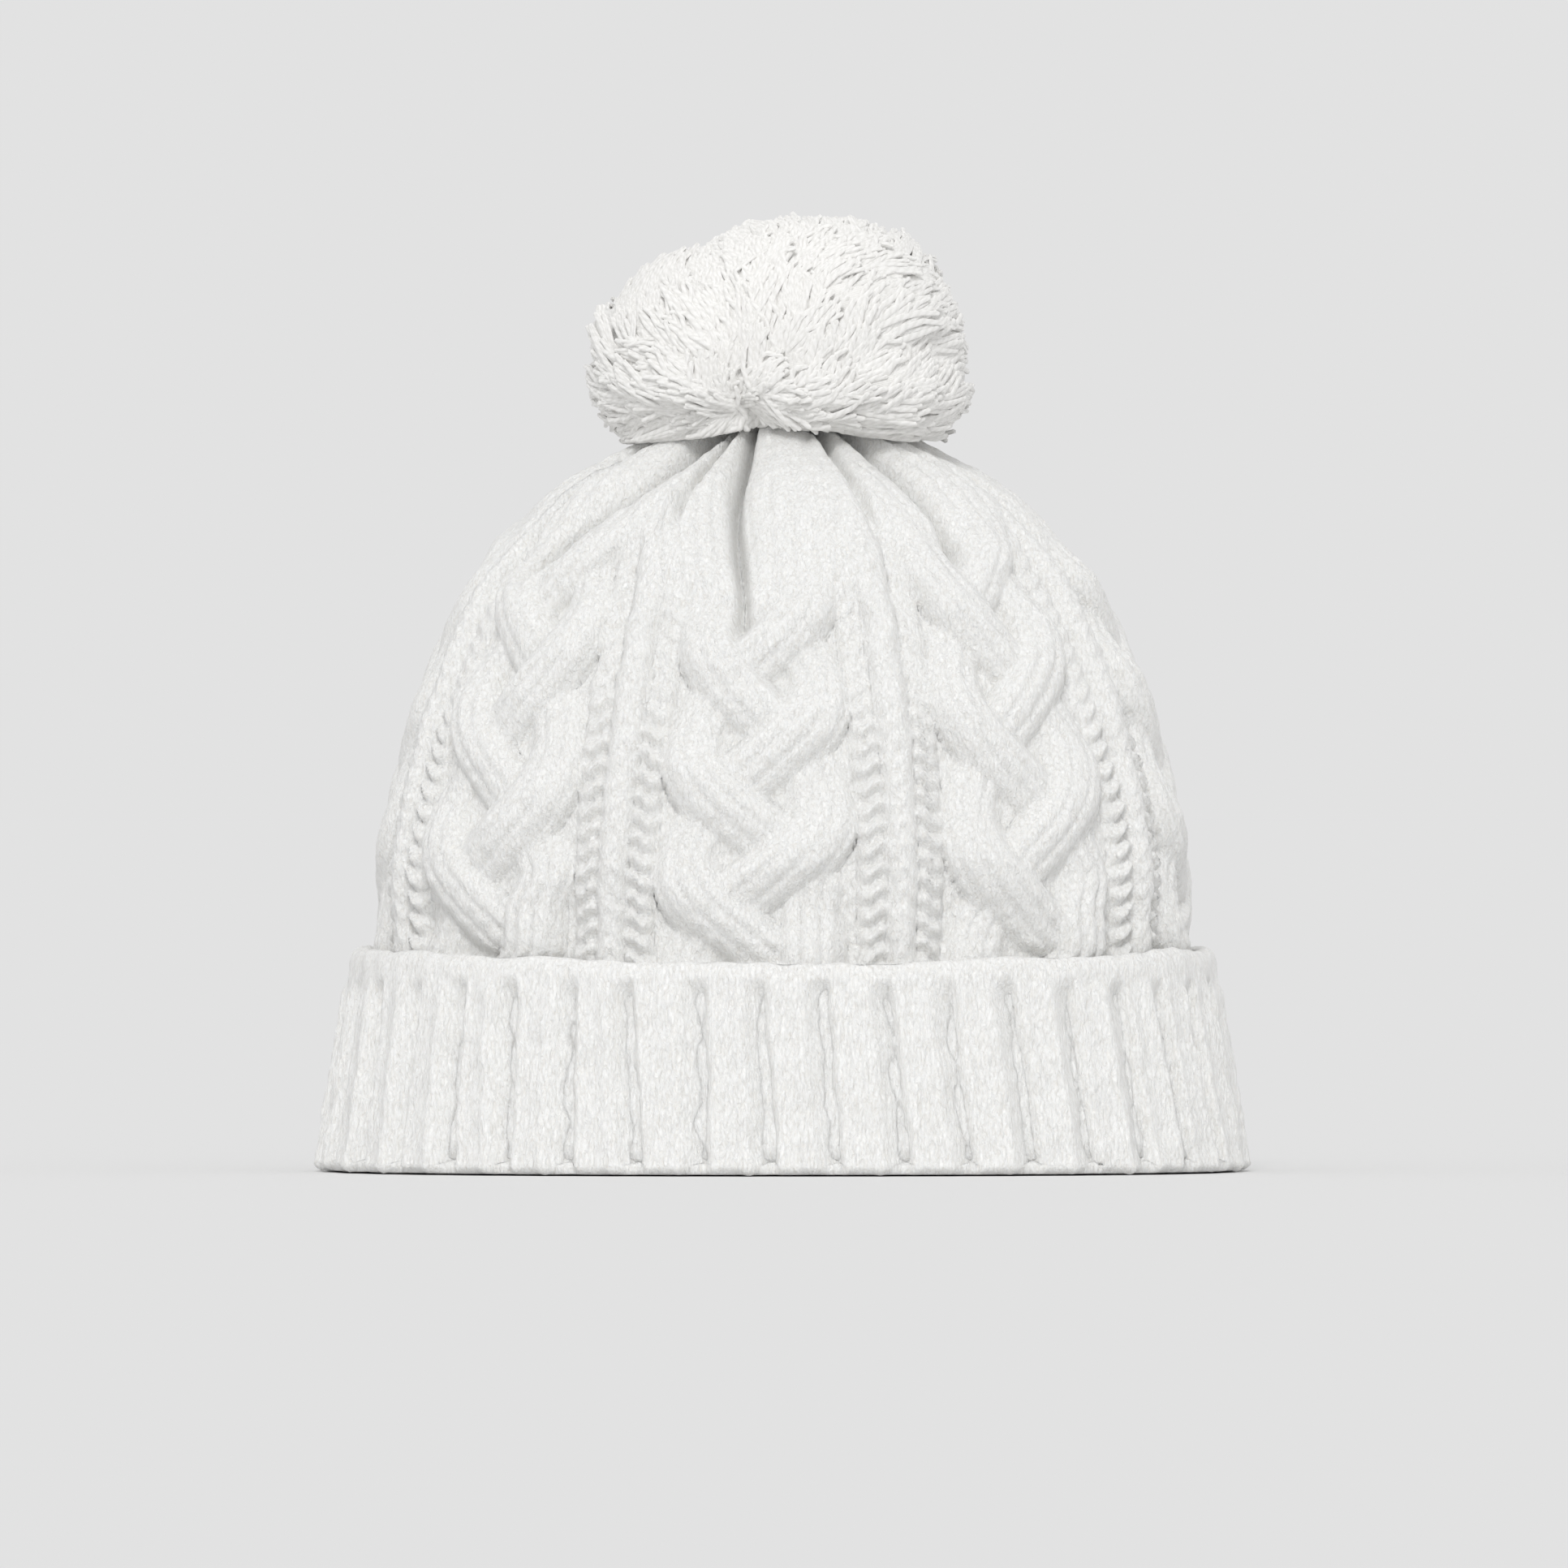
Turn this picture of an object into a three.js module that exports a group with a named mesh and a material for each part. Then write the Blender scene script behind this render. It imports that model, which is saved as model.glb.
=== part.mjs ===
// Knitted beanie with a turned-up ribbed cuff and a yarn pompom tied through the crown.
// Millimetres, +Z up. The hat stands on its hem: the origin is the middle of the hem's plane,
// the wearer's face looks along -Y, and the sewn seam runs up the back at +Y.
import * as THREE from 'three';

// Driving sizes of the hat.
const CROWN_HALF_WIDTH = 96.9;
const CROWN_APEX_Z = 171.7;
const CROWN_BASE_Z = 50;
const CROWN_FALL = 1.66;
const CROWN_ROUND = 0.32;
const DEPTH_SHARE = 0.79;
const OVAL_POWER = 2.3;
const CROWN_WALL = 4.6;
const CROWN_WALL_TURN = 0.55;
const CROWN_HOLE_RADIUS = 5.5;
const CROWN_LIP_DROP = 0.6;
const JOIN_DEPTH = 4;

// Driving sizes of the cuff.
const HEM_HALF_WIDTH = 110;
const CUFF_TOP_HALF_WIDTH = 101.8;
const CUFF_TOP_FRONT_Z = 49.6;
const CUFF_TOP_SIDE_Z = 53;
const CUFF_WALL = 3.5;
const RIB_COUNT = 40;
const RIB_RELIEF = 0.9;
const HEM_ROLL = 2.6;
const HEM_CURVE = 1.2;
const HEM_LIFT = 0.7;
const HEM_TURN = HEM_ROLL * 1.2;
const CUFF_EDGE_DROP = 2;
const CUFF_EDGE_ROUND = 1.2;
const CUFF_EDGE_FLAT = 3.2;
const INNER_BAND_WALL = 3.8;
const INNER_BAND_EASE = 0.5;
const INNER_BAND_STEP = 14;

// The cables of the crown: plaits that run up the knit.
const CABLE_COUNT = 8;
const CABLE_RELIEF = 1.5;
const CABLE_SHARE = 0.42;

// The pompom and its tie.
const POMPOM_CENTRE = new THREE.Vector3(-1.2, 0, 198.8);
const POMPOM_RADII = new THREE.Vector3(43, 38, 24.6);
const POMPOM_LUMPS = 0.035;
const BORE_RADIUS = 8.2;
const BORE_TOP_Z = 195;
const BINDING_RADIUS = 4.4;
const BINDING_BASE_Z = 176.4;
const BINDING_TOP_Z = 190;
const TIE_RADIUS = 2.6;
const TIE_TOP_Z = 175.8;
const KNOT_RADIUS = 6;
const KNOT_Z = 155.4;
const KNOT_LUMPS = 0.08;
const KNOT_FLATTENING = 0.8;

// Yarn radii of the seams and ties.
const BACK_SEAM_RADIUS = 1.5;
const CUFF_SEAM_RADIUS = 0.8;
const TACK_RADIUS = 0.8;
const JOIN_SEAM_HALF = 1.1;
const GATHER_RING_RADIUS = 9.4;
const GATHER_YARN_RADIUS = 1.4;

// The label sewn into the back of the band.
const LABEL_WIDTH = 28;
const LABEL_HEIGHT = 18;
const LABEL_THICKNESS = 0.8;
const LABEL_CLEARANCE = 5;

const GAP = 0.35;
const CROWN_FACETS = CABLE_COUNT * 12;
const CUFF_FACETS = RIB_COUNT * 3;
const SEAM_FACETS = 60;
const YARN_ARC_STEPS = 4;

const IVORY = 0xebeae7;
const IVORY_RIB = 0xe9e8e5;
const POMPOM_IVORY = 0xe8e7e3;
const TIE_IVORY = 0xdedcd6;
const LABEL_WHITE = 0xf2f1ee;

const hat = new THREE.Group();
hat.name = 'pompom_beanie';

function addPiece(name, geometry, colour, roughness) {
  const material = new THREE.MeshStandardMaterial({ color: colour, roughness, metalness: 0 });
  const mesh = new THREE.Mesh(geometry, material);
  mesh.name = name;
  hat.add(mesh);
}

// Reach of the unit oval, a superellipse, in the direction of angle.
function ovalReach(angle) {
  const across = Math.abs(Math.cos(angle)) ** OVAL_POWER;
  const along = (Math.abs(Math.sin(angle)) / DEPTH_SHARE) ** OVAL_POWER;
  return (across + along) ** (-1 / OVAL_POWER);
}

// Half the crown's width at height z. It is widest at the cuff and closes at the apex.
function crownHalfWidth(z) {
  const share = Math.max(z - CROWN_BASE_Z, 0) / (CROWN_APEX_Z - CROWN_BASE_Z);
  return CROWN_HALF_WIDTH * Math.max(1 - share ** CROWN_FALL, 0) ** CROWN_ROUND;
}

// Half the cuff's outer width at height z: it flares towards the hem.
function cuffHalfWidth(z) {
  return HEM_HALF_WIDTH + (CUFF_TOP_HALF_WIDTH - HEM_HALF_WIDTH) * (z / CUFF_TOP_FRONT_Z);
}

// A closed skin through rings of points. Each profile entry is a function of the angle that
// gives { reach, z }; the last ring joins the first, so the wall is a tube round the hat.
function ringWall(profile, around) {
  const positions = [];
  for (let i = 0; i < around; i += 1) {
    const angle = (2 * Math.PI * i) / around;
    for (const ring of profile) {
      const { reach, z } = ring(angle);
      const r = reach * ovalReach(angle);
      positions.push(r * Math.cos(angle), r * Math.sin(angle), z);
    }
  }
  const count = profile.length;
  const indices = [];
  for (let i = 0; i < around; i += 1) {
    const next = (i + 1) % around;
    for (let j = 0; j < count; j += 1) {
      const up = (j + 1) % count;
      const a = i * count + j;
      const b = next * count + j;
      const c = next * count + up;
      const d = i * count + up;
      indices.push(a, b, c, a, c, d);
    }
  }
  const geometry = new THREE.BufferGeometry();
  geometry.setAttribute('position', new THREE.Float32BufferAttribute(positions, 3));
  geometry.setIndex(indices);
  geometry.computeVertexNormals();
  return geometry;
}

// Height of a cable's rope over the knit at angle, fading out near the crown.
function cableRise(angle, z) {
  const turn = (angle / (2 * Math.PI)) * CABLE_COUNT + 0.25 * CABLE_COUNT;
  const offset = Math.abs(turn - Math.round(turn)) / (CABLE_SHARE / 2);
  const fade = THREE.MathUtils.clamp((CROWN_APEX_Z - z) / 60, 0, 1);
  return offset < 1 ? CABLE_RELIEF * Math.cos((offset * Math.PI) / 2) * fade : 0;
}

// Reach of the crown's inner face at height z: the wall leans inwards with the dome, so it
// hangs under the outer face near the apex and stands behind it near the cuff.
function crownInnerReach(z) {
  const share = z / CROWN_APEX_Z;
  const drop = CROWN_WALL * share ** 4;
  const thickness = CROWN_WALL * (1 - CROWN_WALL_TURN * share ** 6);
  return crownHalfWidth(Math.min(z + drop, CROWN_APEX_Z)) - CABLE_RELIEF - thickness;
}

function makeCrown() {
  const base = CUFF_TOP_FRONT_Z - JOIN_DEPTH;
  const lip = CROWN_APEX_Z - CROWN_LIP_DROP;
  const outerHeights = [base, 64, 80, 96, 111, 125, 137, 147, 156, 163, 168, 170.4];
  const innerHeights = [163.5, 157, 148, 136, 120, 100, 75, base];
  const outer = (z) => (angle) => ({ reach: crownHalfWidth(z) - CABLE_RELIEF + cableRise(angle, z), z });
  const inner = (z) => () => ({ reach: crownInnerReach(z), z });
  const profile = [
    ...outerHeights.map(outer),
    () => ({ reach: CROWN_HOLE_RADIUS, z: lip }),
    () => ({ reach: CROWN_HOLE_RADIUS, z: lip - CROWN_WALL }),
    ...innerHeights.map(inner),
  ];
  return ringWall(profile, CROWN_FACETS);
}

// Rise of the cuff's upper edge from the middle of the front and back to the sides.
function cuffTop(angle) {
  return CUFF_TOP_FRONT_Z + (CUFF_TOP_SIDE_Z - CUFF_TOP_FRONT_Z) * Math.cos(angle) ** 2;
}

// Ribs run up the cuff, with a groove at the middle of the back for the seam.
function ribRise(angle) {
  return -(RIB_RELIEF / 2) * Math.cos(angle * RIB_COUNT);
}

// The outer layer of the band: rolled under at the hem, with a flat of its own to stand on.
function makeCuffOuter() {
  const outer = (share) => (angle) => {
    const z = HEM_ROLL + share * (cuffTop(angle) - HEM_ROLL - CUFF_EDGE_DROP);
    const ribbed = share > 0.8 ? 0 : 1;
    return { reach: cuffHalfWidth(z) - RIB_RELIEF + ribRise(angle) * ribbed, z };
  };
  const inner = (share) => (angle) => {
    const foot = HEM_ROLL * 1.5;
    const z = foot + share * (cuffTop(angle) - foot - CUFF_EDGE_DROP);
    return { reach: cuffHalfWidth(z) - RIB_RELIEF - CUFF_WALL, z };
  };
  const edge = (inset) => (angle) => {
    const z = cuffTop(angle);
    return { reach: cuffHalfWidth(z) - RIB_RELIEF - inset, z };
  };
  const hemReach = cuffHalfWidth(0) - RIB_RELIEF;
  const outerHem = hemReach - HEM_ROLL * 0.4;
  const wallInside = hemReach - CUFF_WALL;
  const innerHem = wallInside - INNER_BAND_WALL;
  const profile = [
    () => ({ reach: outerHem, z: HEM_LIFT }),
    outer(0),
    outer(0.8),
    outer(0.9),
    outer(1),
    edge(CUFF_EDGE_ROUND),
    edge(CUFF_EDGE_FLAT),
    inner(1),
    inner(0.5),
    inner(0),
    () => ({ reach: wallInside - HEM_CURVE, z: HEM_TURN }),
    () => ({ reach: innerHem - HEM_CURVE / 3, z: HEM_TURN }),
    () => ({ reach: innerHem, z: HEM_LIFT }),
    () => ({ reach: innerHem + HEM_CURVE, z: 0 }),
    () => ({ reach: outerHem - HEM_CURVE, z: 0 }),
  ];
  return ringWall(profile, CUFF_FACETS);
}

// The inner layer of the band, from the hem's roll up to the join with the crown.
function makeCuffInner() {
  const base = HEM_TURN + GAP;
  const top = CUFF_TOP_FRONT_Z - JOIN_DEPTH - GAP;
  const outerReach = (z) => cuffHalfWidth(z) - RIB_RELIEF - CUFF_WALL - GAP - INNER_BAND_EASE;
  const heights = [base, base + INNER_BAND_STEP, base + 2 * INNER_BAND_STEP, top];
  const taper = (z) => (z === top ? 0.8 : 0);
  const profile = [
    ...heights.map((z) => () => ({ reach: outerReach(z) - taper(z), z })),
    ...heights.reverse().map((z) => () => ({ reach: outerReach(z) - INNER_BAND_WALL, z })),
  ];
  return ringWall(profile, SEAM_FACETS);
}

// A yarn bent along points: a section of a few sides swept along a smooth curve.
function yarn(points, radius, steps, closed) {
  const curve = new THREE.CatmullRomCurve3(points, closed, 'centripetal');
  const section = new THREE.Shape();
  section.absarc(0, 0, radius, 0, 2 * Math.PI, false);
  return new THREE.ExtrudeGeometry(section, { steps, extrudePath: curve, curveSegments: YARN_ARC_STEPS });
}

// A point on the mid-back of the crown's inside, clear of the knit by offset.
function backInside(z, offset) {
  return new THREE.Vector3(0, crownInnerReach(z) * DEPTH_SHARE - offset, z);
}

function makeBackSeam() {
  const points = [];
  for (let z = 56; z <= 150; z += 10) points.push(backInside(z, BACK_SEAM_RADIUS + 1.1));
  return yarn(points, BACK_SEAM_RADIUS, 16, false);
}

function makeCuffSeam() {
  const reach = (z) => (cuffHalfWidth(z) - RIB_RELIEF * 1.2) * DEPTH_SHARE;
  const points = [6, 17, 28, 37].map((z) => new THREE.Vector3(0, reach(z) + GAP + CUFF_SEAM_RADIUS, z));
  return yarn(points, CUFF_SEAM_RADIUS, 8, false);
}

// The edge that links the crown to the band, sewn round the inside.
function makeJoinSeam() {
  const z = CUFF_TOP_FRONT_Z - JOIN_DEPTH;
  const reach = crownInnerReach(z) - JOIN_SEAM_HALF - 1.3;
  const ring = (r, h) => () => ({ reach: r, z: h });
  const profile = [
    ring(reach + JOIN_SEAM_HALF, z - JOIN_SEAM_HALF),
    ring(reach + JOIN_SEAM_HALF, z + JOIN_SEAM_HALF),
    ring(reach - JOIN_SEAM_HALF, z + JOIN_SEAM_HALF),
    ring(reach - JOIN_SEAM_HALF, z - JOIN_SEAM_HALF),
  ];
  return ringWall(profile, SEAM_FACETS);
}

// The yarn drawn round the crown's hole to close it, under the knit.
function makeGatherYarn() {
  return new THREE.TorusGeometry(GATHER_RING_RADIUS, GATHER_YARN_RADIUS, 6, 28).translate(0, 0, 163);
}

// A loop that holds the turned-up edge to the crown at the back.
function makeTackStitch() {
  const edge = (cuffHalfWidth(CUFF_TOP_FRONT_Z) - RIB_RELIEF) * DEPTH_SHARE;
  const points = [
    new THREE.Vector3(0, edge + 1.6, CUFF_TOP_FRONT_Z - 5),
    new THREE.Vector3(0, edge + 1.2, CUFF_TOP_FRONT_Z + 0.6),
    new THREE.Vector3(0, edge - 1.2, CUFF_TOP_FRONT_Z + 2),
    new THREE.Vector3(0, edge - 2.4, CUFF_TOP_FRONT_Z + 4.4),
  ];
  return yarn(points, TACK_RADIUS, 10, false);
}

function makeLabel() {
  const z = CUFF_TOP_FRONT_Z - JOIN_DEPTH - 2 - LABEL_HEIGHT / 2;
  const reach = cuffHalfWidth(z + LABEL_HEIGHT / 2) - CUFF_WALL - INNER_BAND_WALL;
  const depth = reach * DEPTH_SHARE - LABEL_CLEARANCE;
  return new THREE.BoxGeometry(LABEL_WIDTH, LABEL_THICKNESS, LABEL_HEIGHT).translate(0, depth, z);
}

// The yarn shank through the crown's hole, with the knot that stops it inside.
function makeTie() {
  const base = KNOT_Z + KNOT_RADIUS * 0.86 + GAP;
  const profile = [
    new THREE.Vector2(0, base),
    new THREE.Vector2(TIE_RADIUS, base),
    new THREE.Vector2(TIE_RADIUS * 0.9, (base + TIE_TOP_Z) / 2),
    new THREE.Vector2(TIE_RADIUS, TIE_TOP_Z),
    new THREE.Vector2(0, TIE_TOP_Z),
  ];
  return new THREE.LatheGeometry(profile, 16).rotateX(Math.PI / 2);
}

// A lumpy bead of yarn, wider than the crown's hole.
function makeKnot() {
  const knot = new THREE.IcosahedronGeometry(KNOT_RADIUS, 3);
  const points = knot.attributes.position;
  const point = new THREE.Vector3();
  for (let i = 0; i < points.count; i += 1) {
    point.fromBufferAttribute(points, i);
    const lump = 1 + KNOT_LUMPS * Math.sin(point.x * 0.8) * Math.cos(point.y * 0.7 + point.z * 0.5);
    points.setXYZ(i, point.x * lump, point.y * lump, point.z * lump * KNOT_FLATTENING + KNOT_Z);
  }
  return knot;
}

// The winding that grips the strands at the pompom's middle, a waisted spool of yarn turns.
function makeBinding() {
  const turns = 5;
  const pitch = (BINDING_TOP_Z - BINDING_BASE_Z) / turns;
  const profile = [new THREE.Vector2(0, BINDING_BASE_Z)];
  for (let i = 0; i < turns; i += 1) {
    const z = BINDING_BASE_Z + i * pitch;
    profile.push(new THREE.Vector2(BINDING_RADIUS - 0.8, z));
    profile.push(new THREE.Vector2(BINDING_RADIUS, z + pitch / 2));
  }
  profile.push(new THREE.Vector2(BINDING_RADIUS - 0.8, BINDING_TOP_Z));
  profile.push(new THREE.Vector2(0, BINDING_TOP_Z));
  return new THREE.LatheGeometry(profile, 20).rotateX(Math.PI / 2);
}

// The ball of cut strands: a lumpy dome round a bore that leaves the binding room to rock.
function makePompom() {
  const rings = 14;
  const around = 40;
  const startAngle = Math.asin((BORE_RADIUS + 1) / POMPOM_RADII.x);
  const profile = [];
  for (let j = 0; j <= rings; j += 1) {
    const polar = Math.PI - startAngle - ((Math.PI - startAngle) * j) / rings;
    profile.push({ across: Math.sin(polar), up: Math.cos(polar) });
  }
  const positions = [];
  const lump = (angle, up) => 1 + POMPOM_LUMPS * Math.sin(5 * angle + 4 * up) * Math.cos(3 * angle - up);
  for (const { across, up } of profile.slice(0, -1)) {
    for (let i = 0; i < around; i += 1) {
      const angle = (2 * Math.PI * i) / around;
      const swell = up > -0.5 ? lump(angle, up) : 1;
      positions.push(
        POMPOM_CENTRE.x * (up > -0.9 ? 1 : 0) + POMPOM_RADII.x * across * Math.cos(angle) * swell,
        POMPOM_RADII.y * across * Math.sin(angle) * swell,
        POMPOM_CENTRE.z + POMPOM_RADII.z * up,
      );
    }
  }
  const top = positions.length / 3;
  positions.push(POMPOM_CENTRE.x, 0, POMPOM_CENTRE.z + POMPOM_RADII.z);
  const boreBase = top + 1;
  const boreMouth = POMPOM_CENTRE.z - POMPOM_RADII.z * Math.cos(startAngle);
  for (const z of [boreMouth + 0.5, BORE_TOP_Z]) {
    for (let i = 0; i < around; i += 1) {
      const angle = (2 * Math.PI * i) / around;
      positions.push(BORE_RADIUS * Math.cos(angle), BORE_RADIUS * Math.sin(angle), z);
    }
  }
  const ceiling = positions.length / 3;
  positions.push(0, 0, BORE_TOP_Z);
  const indices = [];
  const band = (low, high) => {
    for (let i = 0; i < around; i += 1) {
      const next = (i + 1) % around;
      indices.push(low + i, low + next, high + next, low + i, high + next, high + i);
    }
  };
  for (let j = 0; j + 1 < rings; j += 1) band(j * around, (j + 1) * around);
  const last = (rings - 1) * around;
  for (let i = 0; i < around; i += 1) {
    indices.push(last + i, last + ((i + 1) % around), top);
    indices.push(boreBase + around + ((i + 1) % around), boreBase + around + i, ceiling);
  }
  band(boreBase, 0);
  band(boreBase + around, boreBase);
  const geometry = new THREE.BufferGeometry();
  geometry.setAttribute('position', new THREE.Float32BufferAttribute(positions, 3));
  geometry.setIndex(indices);
  geometry.computeVertexNormals();
  return geometry;
}

addPiece('crown_cable_knit', makeCrown(), IVORY, 0.95);
addPiece('cuff_outer_layer', makeCuffOuter(), IVORY_RIB, 0.95);
addPiece('cuff_inner_layer', makeCuffInner(), IVORY_RIB, 0.95);
addPiece('crown_join_seam', makeJoinSeam(), IVORY_RIB, 0.9);
addPiece('crown_back_seam', makeBackSeam(), IVORY, 0.9);
addPiece('cuff_back_seam', makeCuffSeam(), IVORY_RIB, 0.9);
addPiece('cuff_tack_stitch', makeTackStitch(), TIE_IVORY, 0.85);
addPiece('crown_gather_yarn', makeGatherYarn(), TIE_IVORY, 0.85);
addPiece('care_label', makeLabel(), LABEL_WHITE, 0.6);
addPiece('pompom_tie', makeTie(), TIE_IVORY, 0.85);
addPiece('pompom_anchor_knot', makeKnot(), TIE_IVORY, 0.85);
addPiece('pompom_binding', makeBinding(), TIE_IVORY, 0.85);
addPiece('pompom', makePompom(), POMPOM_IVORY, 0.95);

export default hat;
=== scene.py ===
"""An ivory cable-knit beanie with a turned-up ribbed cuff and a cut-yarn pompom.

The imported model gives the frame: its bodies, joints and the place of every node. This script knits the
visible surfaces round it. Sizes are in millimetres until a mesh is made, and metres from there on.
"""

import logging
import math
from dataclasses import dataclass
from enum import Enum

import bpy
import numpy as np
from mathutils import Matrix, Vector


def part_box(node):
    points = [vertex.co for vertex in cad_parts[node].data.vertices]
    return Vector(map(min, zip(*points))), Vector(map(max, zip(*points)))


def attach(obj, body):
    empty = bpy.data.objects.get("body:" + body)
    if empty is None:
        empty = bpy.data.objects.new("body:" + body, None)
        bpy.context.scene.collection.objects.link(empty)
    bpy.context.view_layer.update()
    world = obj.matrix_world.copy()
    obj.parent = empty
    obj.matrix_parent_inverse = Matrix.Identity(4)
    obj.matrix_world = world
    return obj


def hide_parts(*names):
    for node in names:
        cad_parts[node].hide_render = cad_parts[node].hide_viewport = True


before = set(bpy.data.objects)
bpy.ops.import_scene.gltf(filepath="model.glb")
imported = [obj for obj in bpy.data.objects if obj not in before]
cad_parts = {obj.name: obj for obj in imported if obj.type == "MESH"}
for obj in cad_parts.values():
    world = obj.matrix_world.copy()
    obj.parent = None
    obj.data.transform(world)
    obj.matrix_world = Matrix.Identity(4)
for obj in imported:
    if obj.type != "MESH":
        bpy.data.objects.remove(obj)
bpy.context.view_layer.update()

LOG = logging.getLogger("beanie")
MM = 0.001
TAU = 2 * math.pi


# --- small tools -------------------------------------------------------------------------------


def linear(hex_colour: str) -> tuple[float, float, float, float]:
    """Turns an sRGB colour into the linear one that shaders take.

    Args:
        hex_colour: six hex digits, with or without a leading hash.

    Returns:
        Linear red, green, blue and an alpha of one.
    """
    digits = hex_colour.lstrip("#")
    parts = [int(digits[i : i + 2], 16) / 255 for i in (0, 2, 4)]
    red, green, blue = (c / 12.92 if c <= 0.04045 else ((c + 0.055) / 1.055) ** 2.4 for c in parts)
    return (red, green, blue, 1.0)


def ease(value: np.ndarray, low: float, high: float) -> np.ndarray:
    """A smooth step: 0 below low, 1 above high, and 3x^2 - 2x^3 of the share between.

    Args:
        value: the numbers to ease.
        low: where the step starts.
        high: where it ends; it may be lower than low, and the step then falls.

    Returns:
        Numbers from 0 to 1.
    """
    share = np.clip((value - low) / (high - low), 0.0, 1.0)
    return share * share * (3 - 2 * share)


def soft_max(layers: list[np.ndarray], softness: float) -> np.ndarray:
    """The highest of several heights with its creases rounded: softness x log of the sum of e^(h/softness).

    Args:
        layers: arrays of one shape, in millimetres.
        softness: how far the rounding reaches, in millimetres.

    Returns:
        The blended height.
    """
    stack = np.stack(layers)
    top = stack.max(axis=0)
    return top + softness * np.log(np.exp((stack - top) / softness).sum(axis=0))


def wander(around: np.ndarray, up: np.ndarray, seed: int, cycles: int, reach_mm: float) -> np.ndarray:
    """A slow, seamless unevenness: the mean of sine waves with whole cycles round the hat.

    Args:
        around: shares of the way round, from 0 to 1.
        up: heights or lengths in millimetres.
        seed: chooses the waves.
        cycles: the most waves that fit round the hat.
        reach_mm: the length of the shortest wave up the hat.

    Returns:
        Numbers mostly between -1 and 1.
    """
    draw = np.random.default_rng(seed)
    total = np.zeros(np.broadcast(around, up).shape)
    waves = 7
    for _ in range(waves):
        turns = int(draw.integers(1, cycles + 1))
        rise = draw.uniform(-1, 1) / reach_mm
        total += np.sin(TAU * (turns * around + rise * up + draw.random()))
    return total / math.sqrt(waves)


def unit(vectors: np.ndarray) -> np.ndarray:
    """The vectors at length one.

    Args:
        vectors: an array whose last axis is x, y, z.

    Returns:
        Vectors of the same shape.
    """
    return vectors / np.maximum(np.linalg.norm(vectors, axis=-1, keepdims=True), 1e-9)


def grid_quads(columns: int, rows: int, wrap: bool) -> np.ndarray:
    """The faces of a grid of points stored column by column.

    Args:
        columns: the number of columns.
        rows: the number of points in a column.
        wrap: whether the last column joins the first.

    Returns:
        An array of four point numbers a face, anticlockwise where columns run right and rows up.
    """
    left = np.arange(columns if wrap else columns - 1)
    right = (left + 1) % columns
    low = np.arange(rows - 1)
    a = left[:, None] * rows + low
    b = right[:, None] * rows + low
    return np.stack([a, b, b + 1, a + 1], axis=-1).reshape(-1, 4)


def ring_faces(columns: int, rows: int) -> list[np.ndarray]:
    """The faces of a closed ring whose columns are closed profiles.

    Args:
        columns: the number of profiles round the ring.
        rows: the number of points in a profile.

    Returns:
        The faces along the profiles, and those that join each profile's end to its start.
    """
    low = np.arange(columns) * rows
    high = np.roll(low, -1)
    closing = np.stack([low + rows - 1, high + rows - 1, high, low], axis=-1)
    return [grid_quads(columns, rows, True), closing]


def slab_faces(columns: int, rows: int) -> list[np.ndarray]:
    """The faces of a closed slab whose columns are closed profiles, with a wall at its first and its last.

    Args:
        columns: the number of profiles along the slab.
        rows: the number of points in a profile.

    Returns:
        The faces along the profiles, those that close each profile, and the two walls.
    """
    last = np.arange(columns - 1) * rows
    closing = np.stack([last + rows - 1, last + 2 * rows - 1, last + rows, last], axis=-1)
    first_wall = np.arange(rows)[None, :]
    last_wall = np.arange((columns - 1) * rows, columns * rows)[None, ::-1]
    return [grid_quads(columns, rows, False), closing, first_wall, last_wall]


def put_mesh(
    name: str,
    points: np.ndarray,
    faces: list[np.ndarray],
    material: bpy.types.Material,
    uv: np.ndarray | None = None,
    normals: np.ndarray | None = None,
) -> bpy.types.Object:
    """Makes a smooth mesh object at the origin.

    Args:
        name: the piece's name.
        points: its points in millimetres.
        faces: arrays of point numbers, each with its own count of corners a face.
        material: its finish.
        uv: a texture place for each point, in millimetres of cloth.
        normals: a shading normal for each point, where the piece meets another without a seam.

    Returns:
        The object, linked to the scene.
    """
    mesh = bpy.data.meshes.new(name)
    mesh.vertices.add(len(points))
    mesh.vertices.foreach_set("co", (np.asarray(points) * MM).astype(np.float32).ravel())
    corners = np.concatenate([f.ravel() for f in faces]).astype(np.int32)
    sizes = np.concatenate([np.full(len(f), f.shape[1]) for f in faces])
    mesh.loops.add(len(corners))
    mesh.loops.foreach_set("vertex_index", corners)
    mesh.polygons.add(len(sizes))
    mesh.polygons.foreach_set("loop_start", np.concatenate([[0], np.cumsum(sizes)[:-1]]).astype(np.int32))
    mesh.update(calc_edges=True)
    mesh.polygons.foreach_set("use_smooth", np.ones(len(sizes), bool))
    if uv is not None:
        layer = mesh.uv_layers.new(name="cloth")
        layer.data.foreach_set("uv", uv[corners].astype(np.float32).ravel())
    if normals is not None:
        mesh.normals_split_custom_set_from_vertices(normals.tolist())
    mesh.materials.append(material)
    thing = bpy.data.objects.new(name, mesh)
    bpy.context.scene.collection.objects.link(thing)
    LOG.info("%s: %d points, %d faces", name, len(points), len(sizes))
    return thing


def settle(piece: bpy.types.Object, node: str, body: str) -> None:
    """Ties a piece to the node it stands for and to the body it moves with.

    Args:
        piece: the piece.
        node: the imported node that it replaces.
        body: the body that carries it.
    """
    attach(piece, body)
    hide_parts(node)


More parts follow.
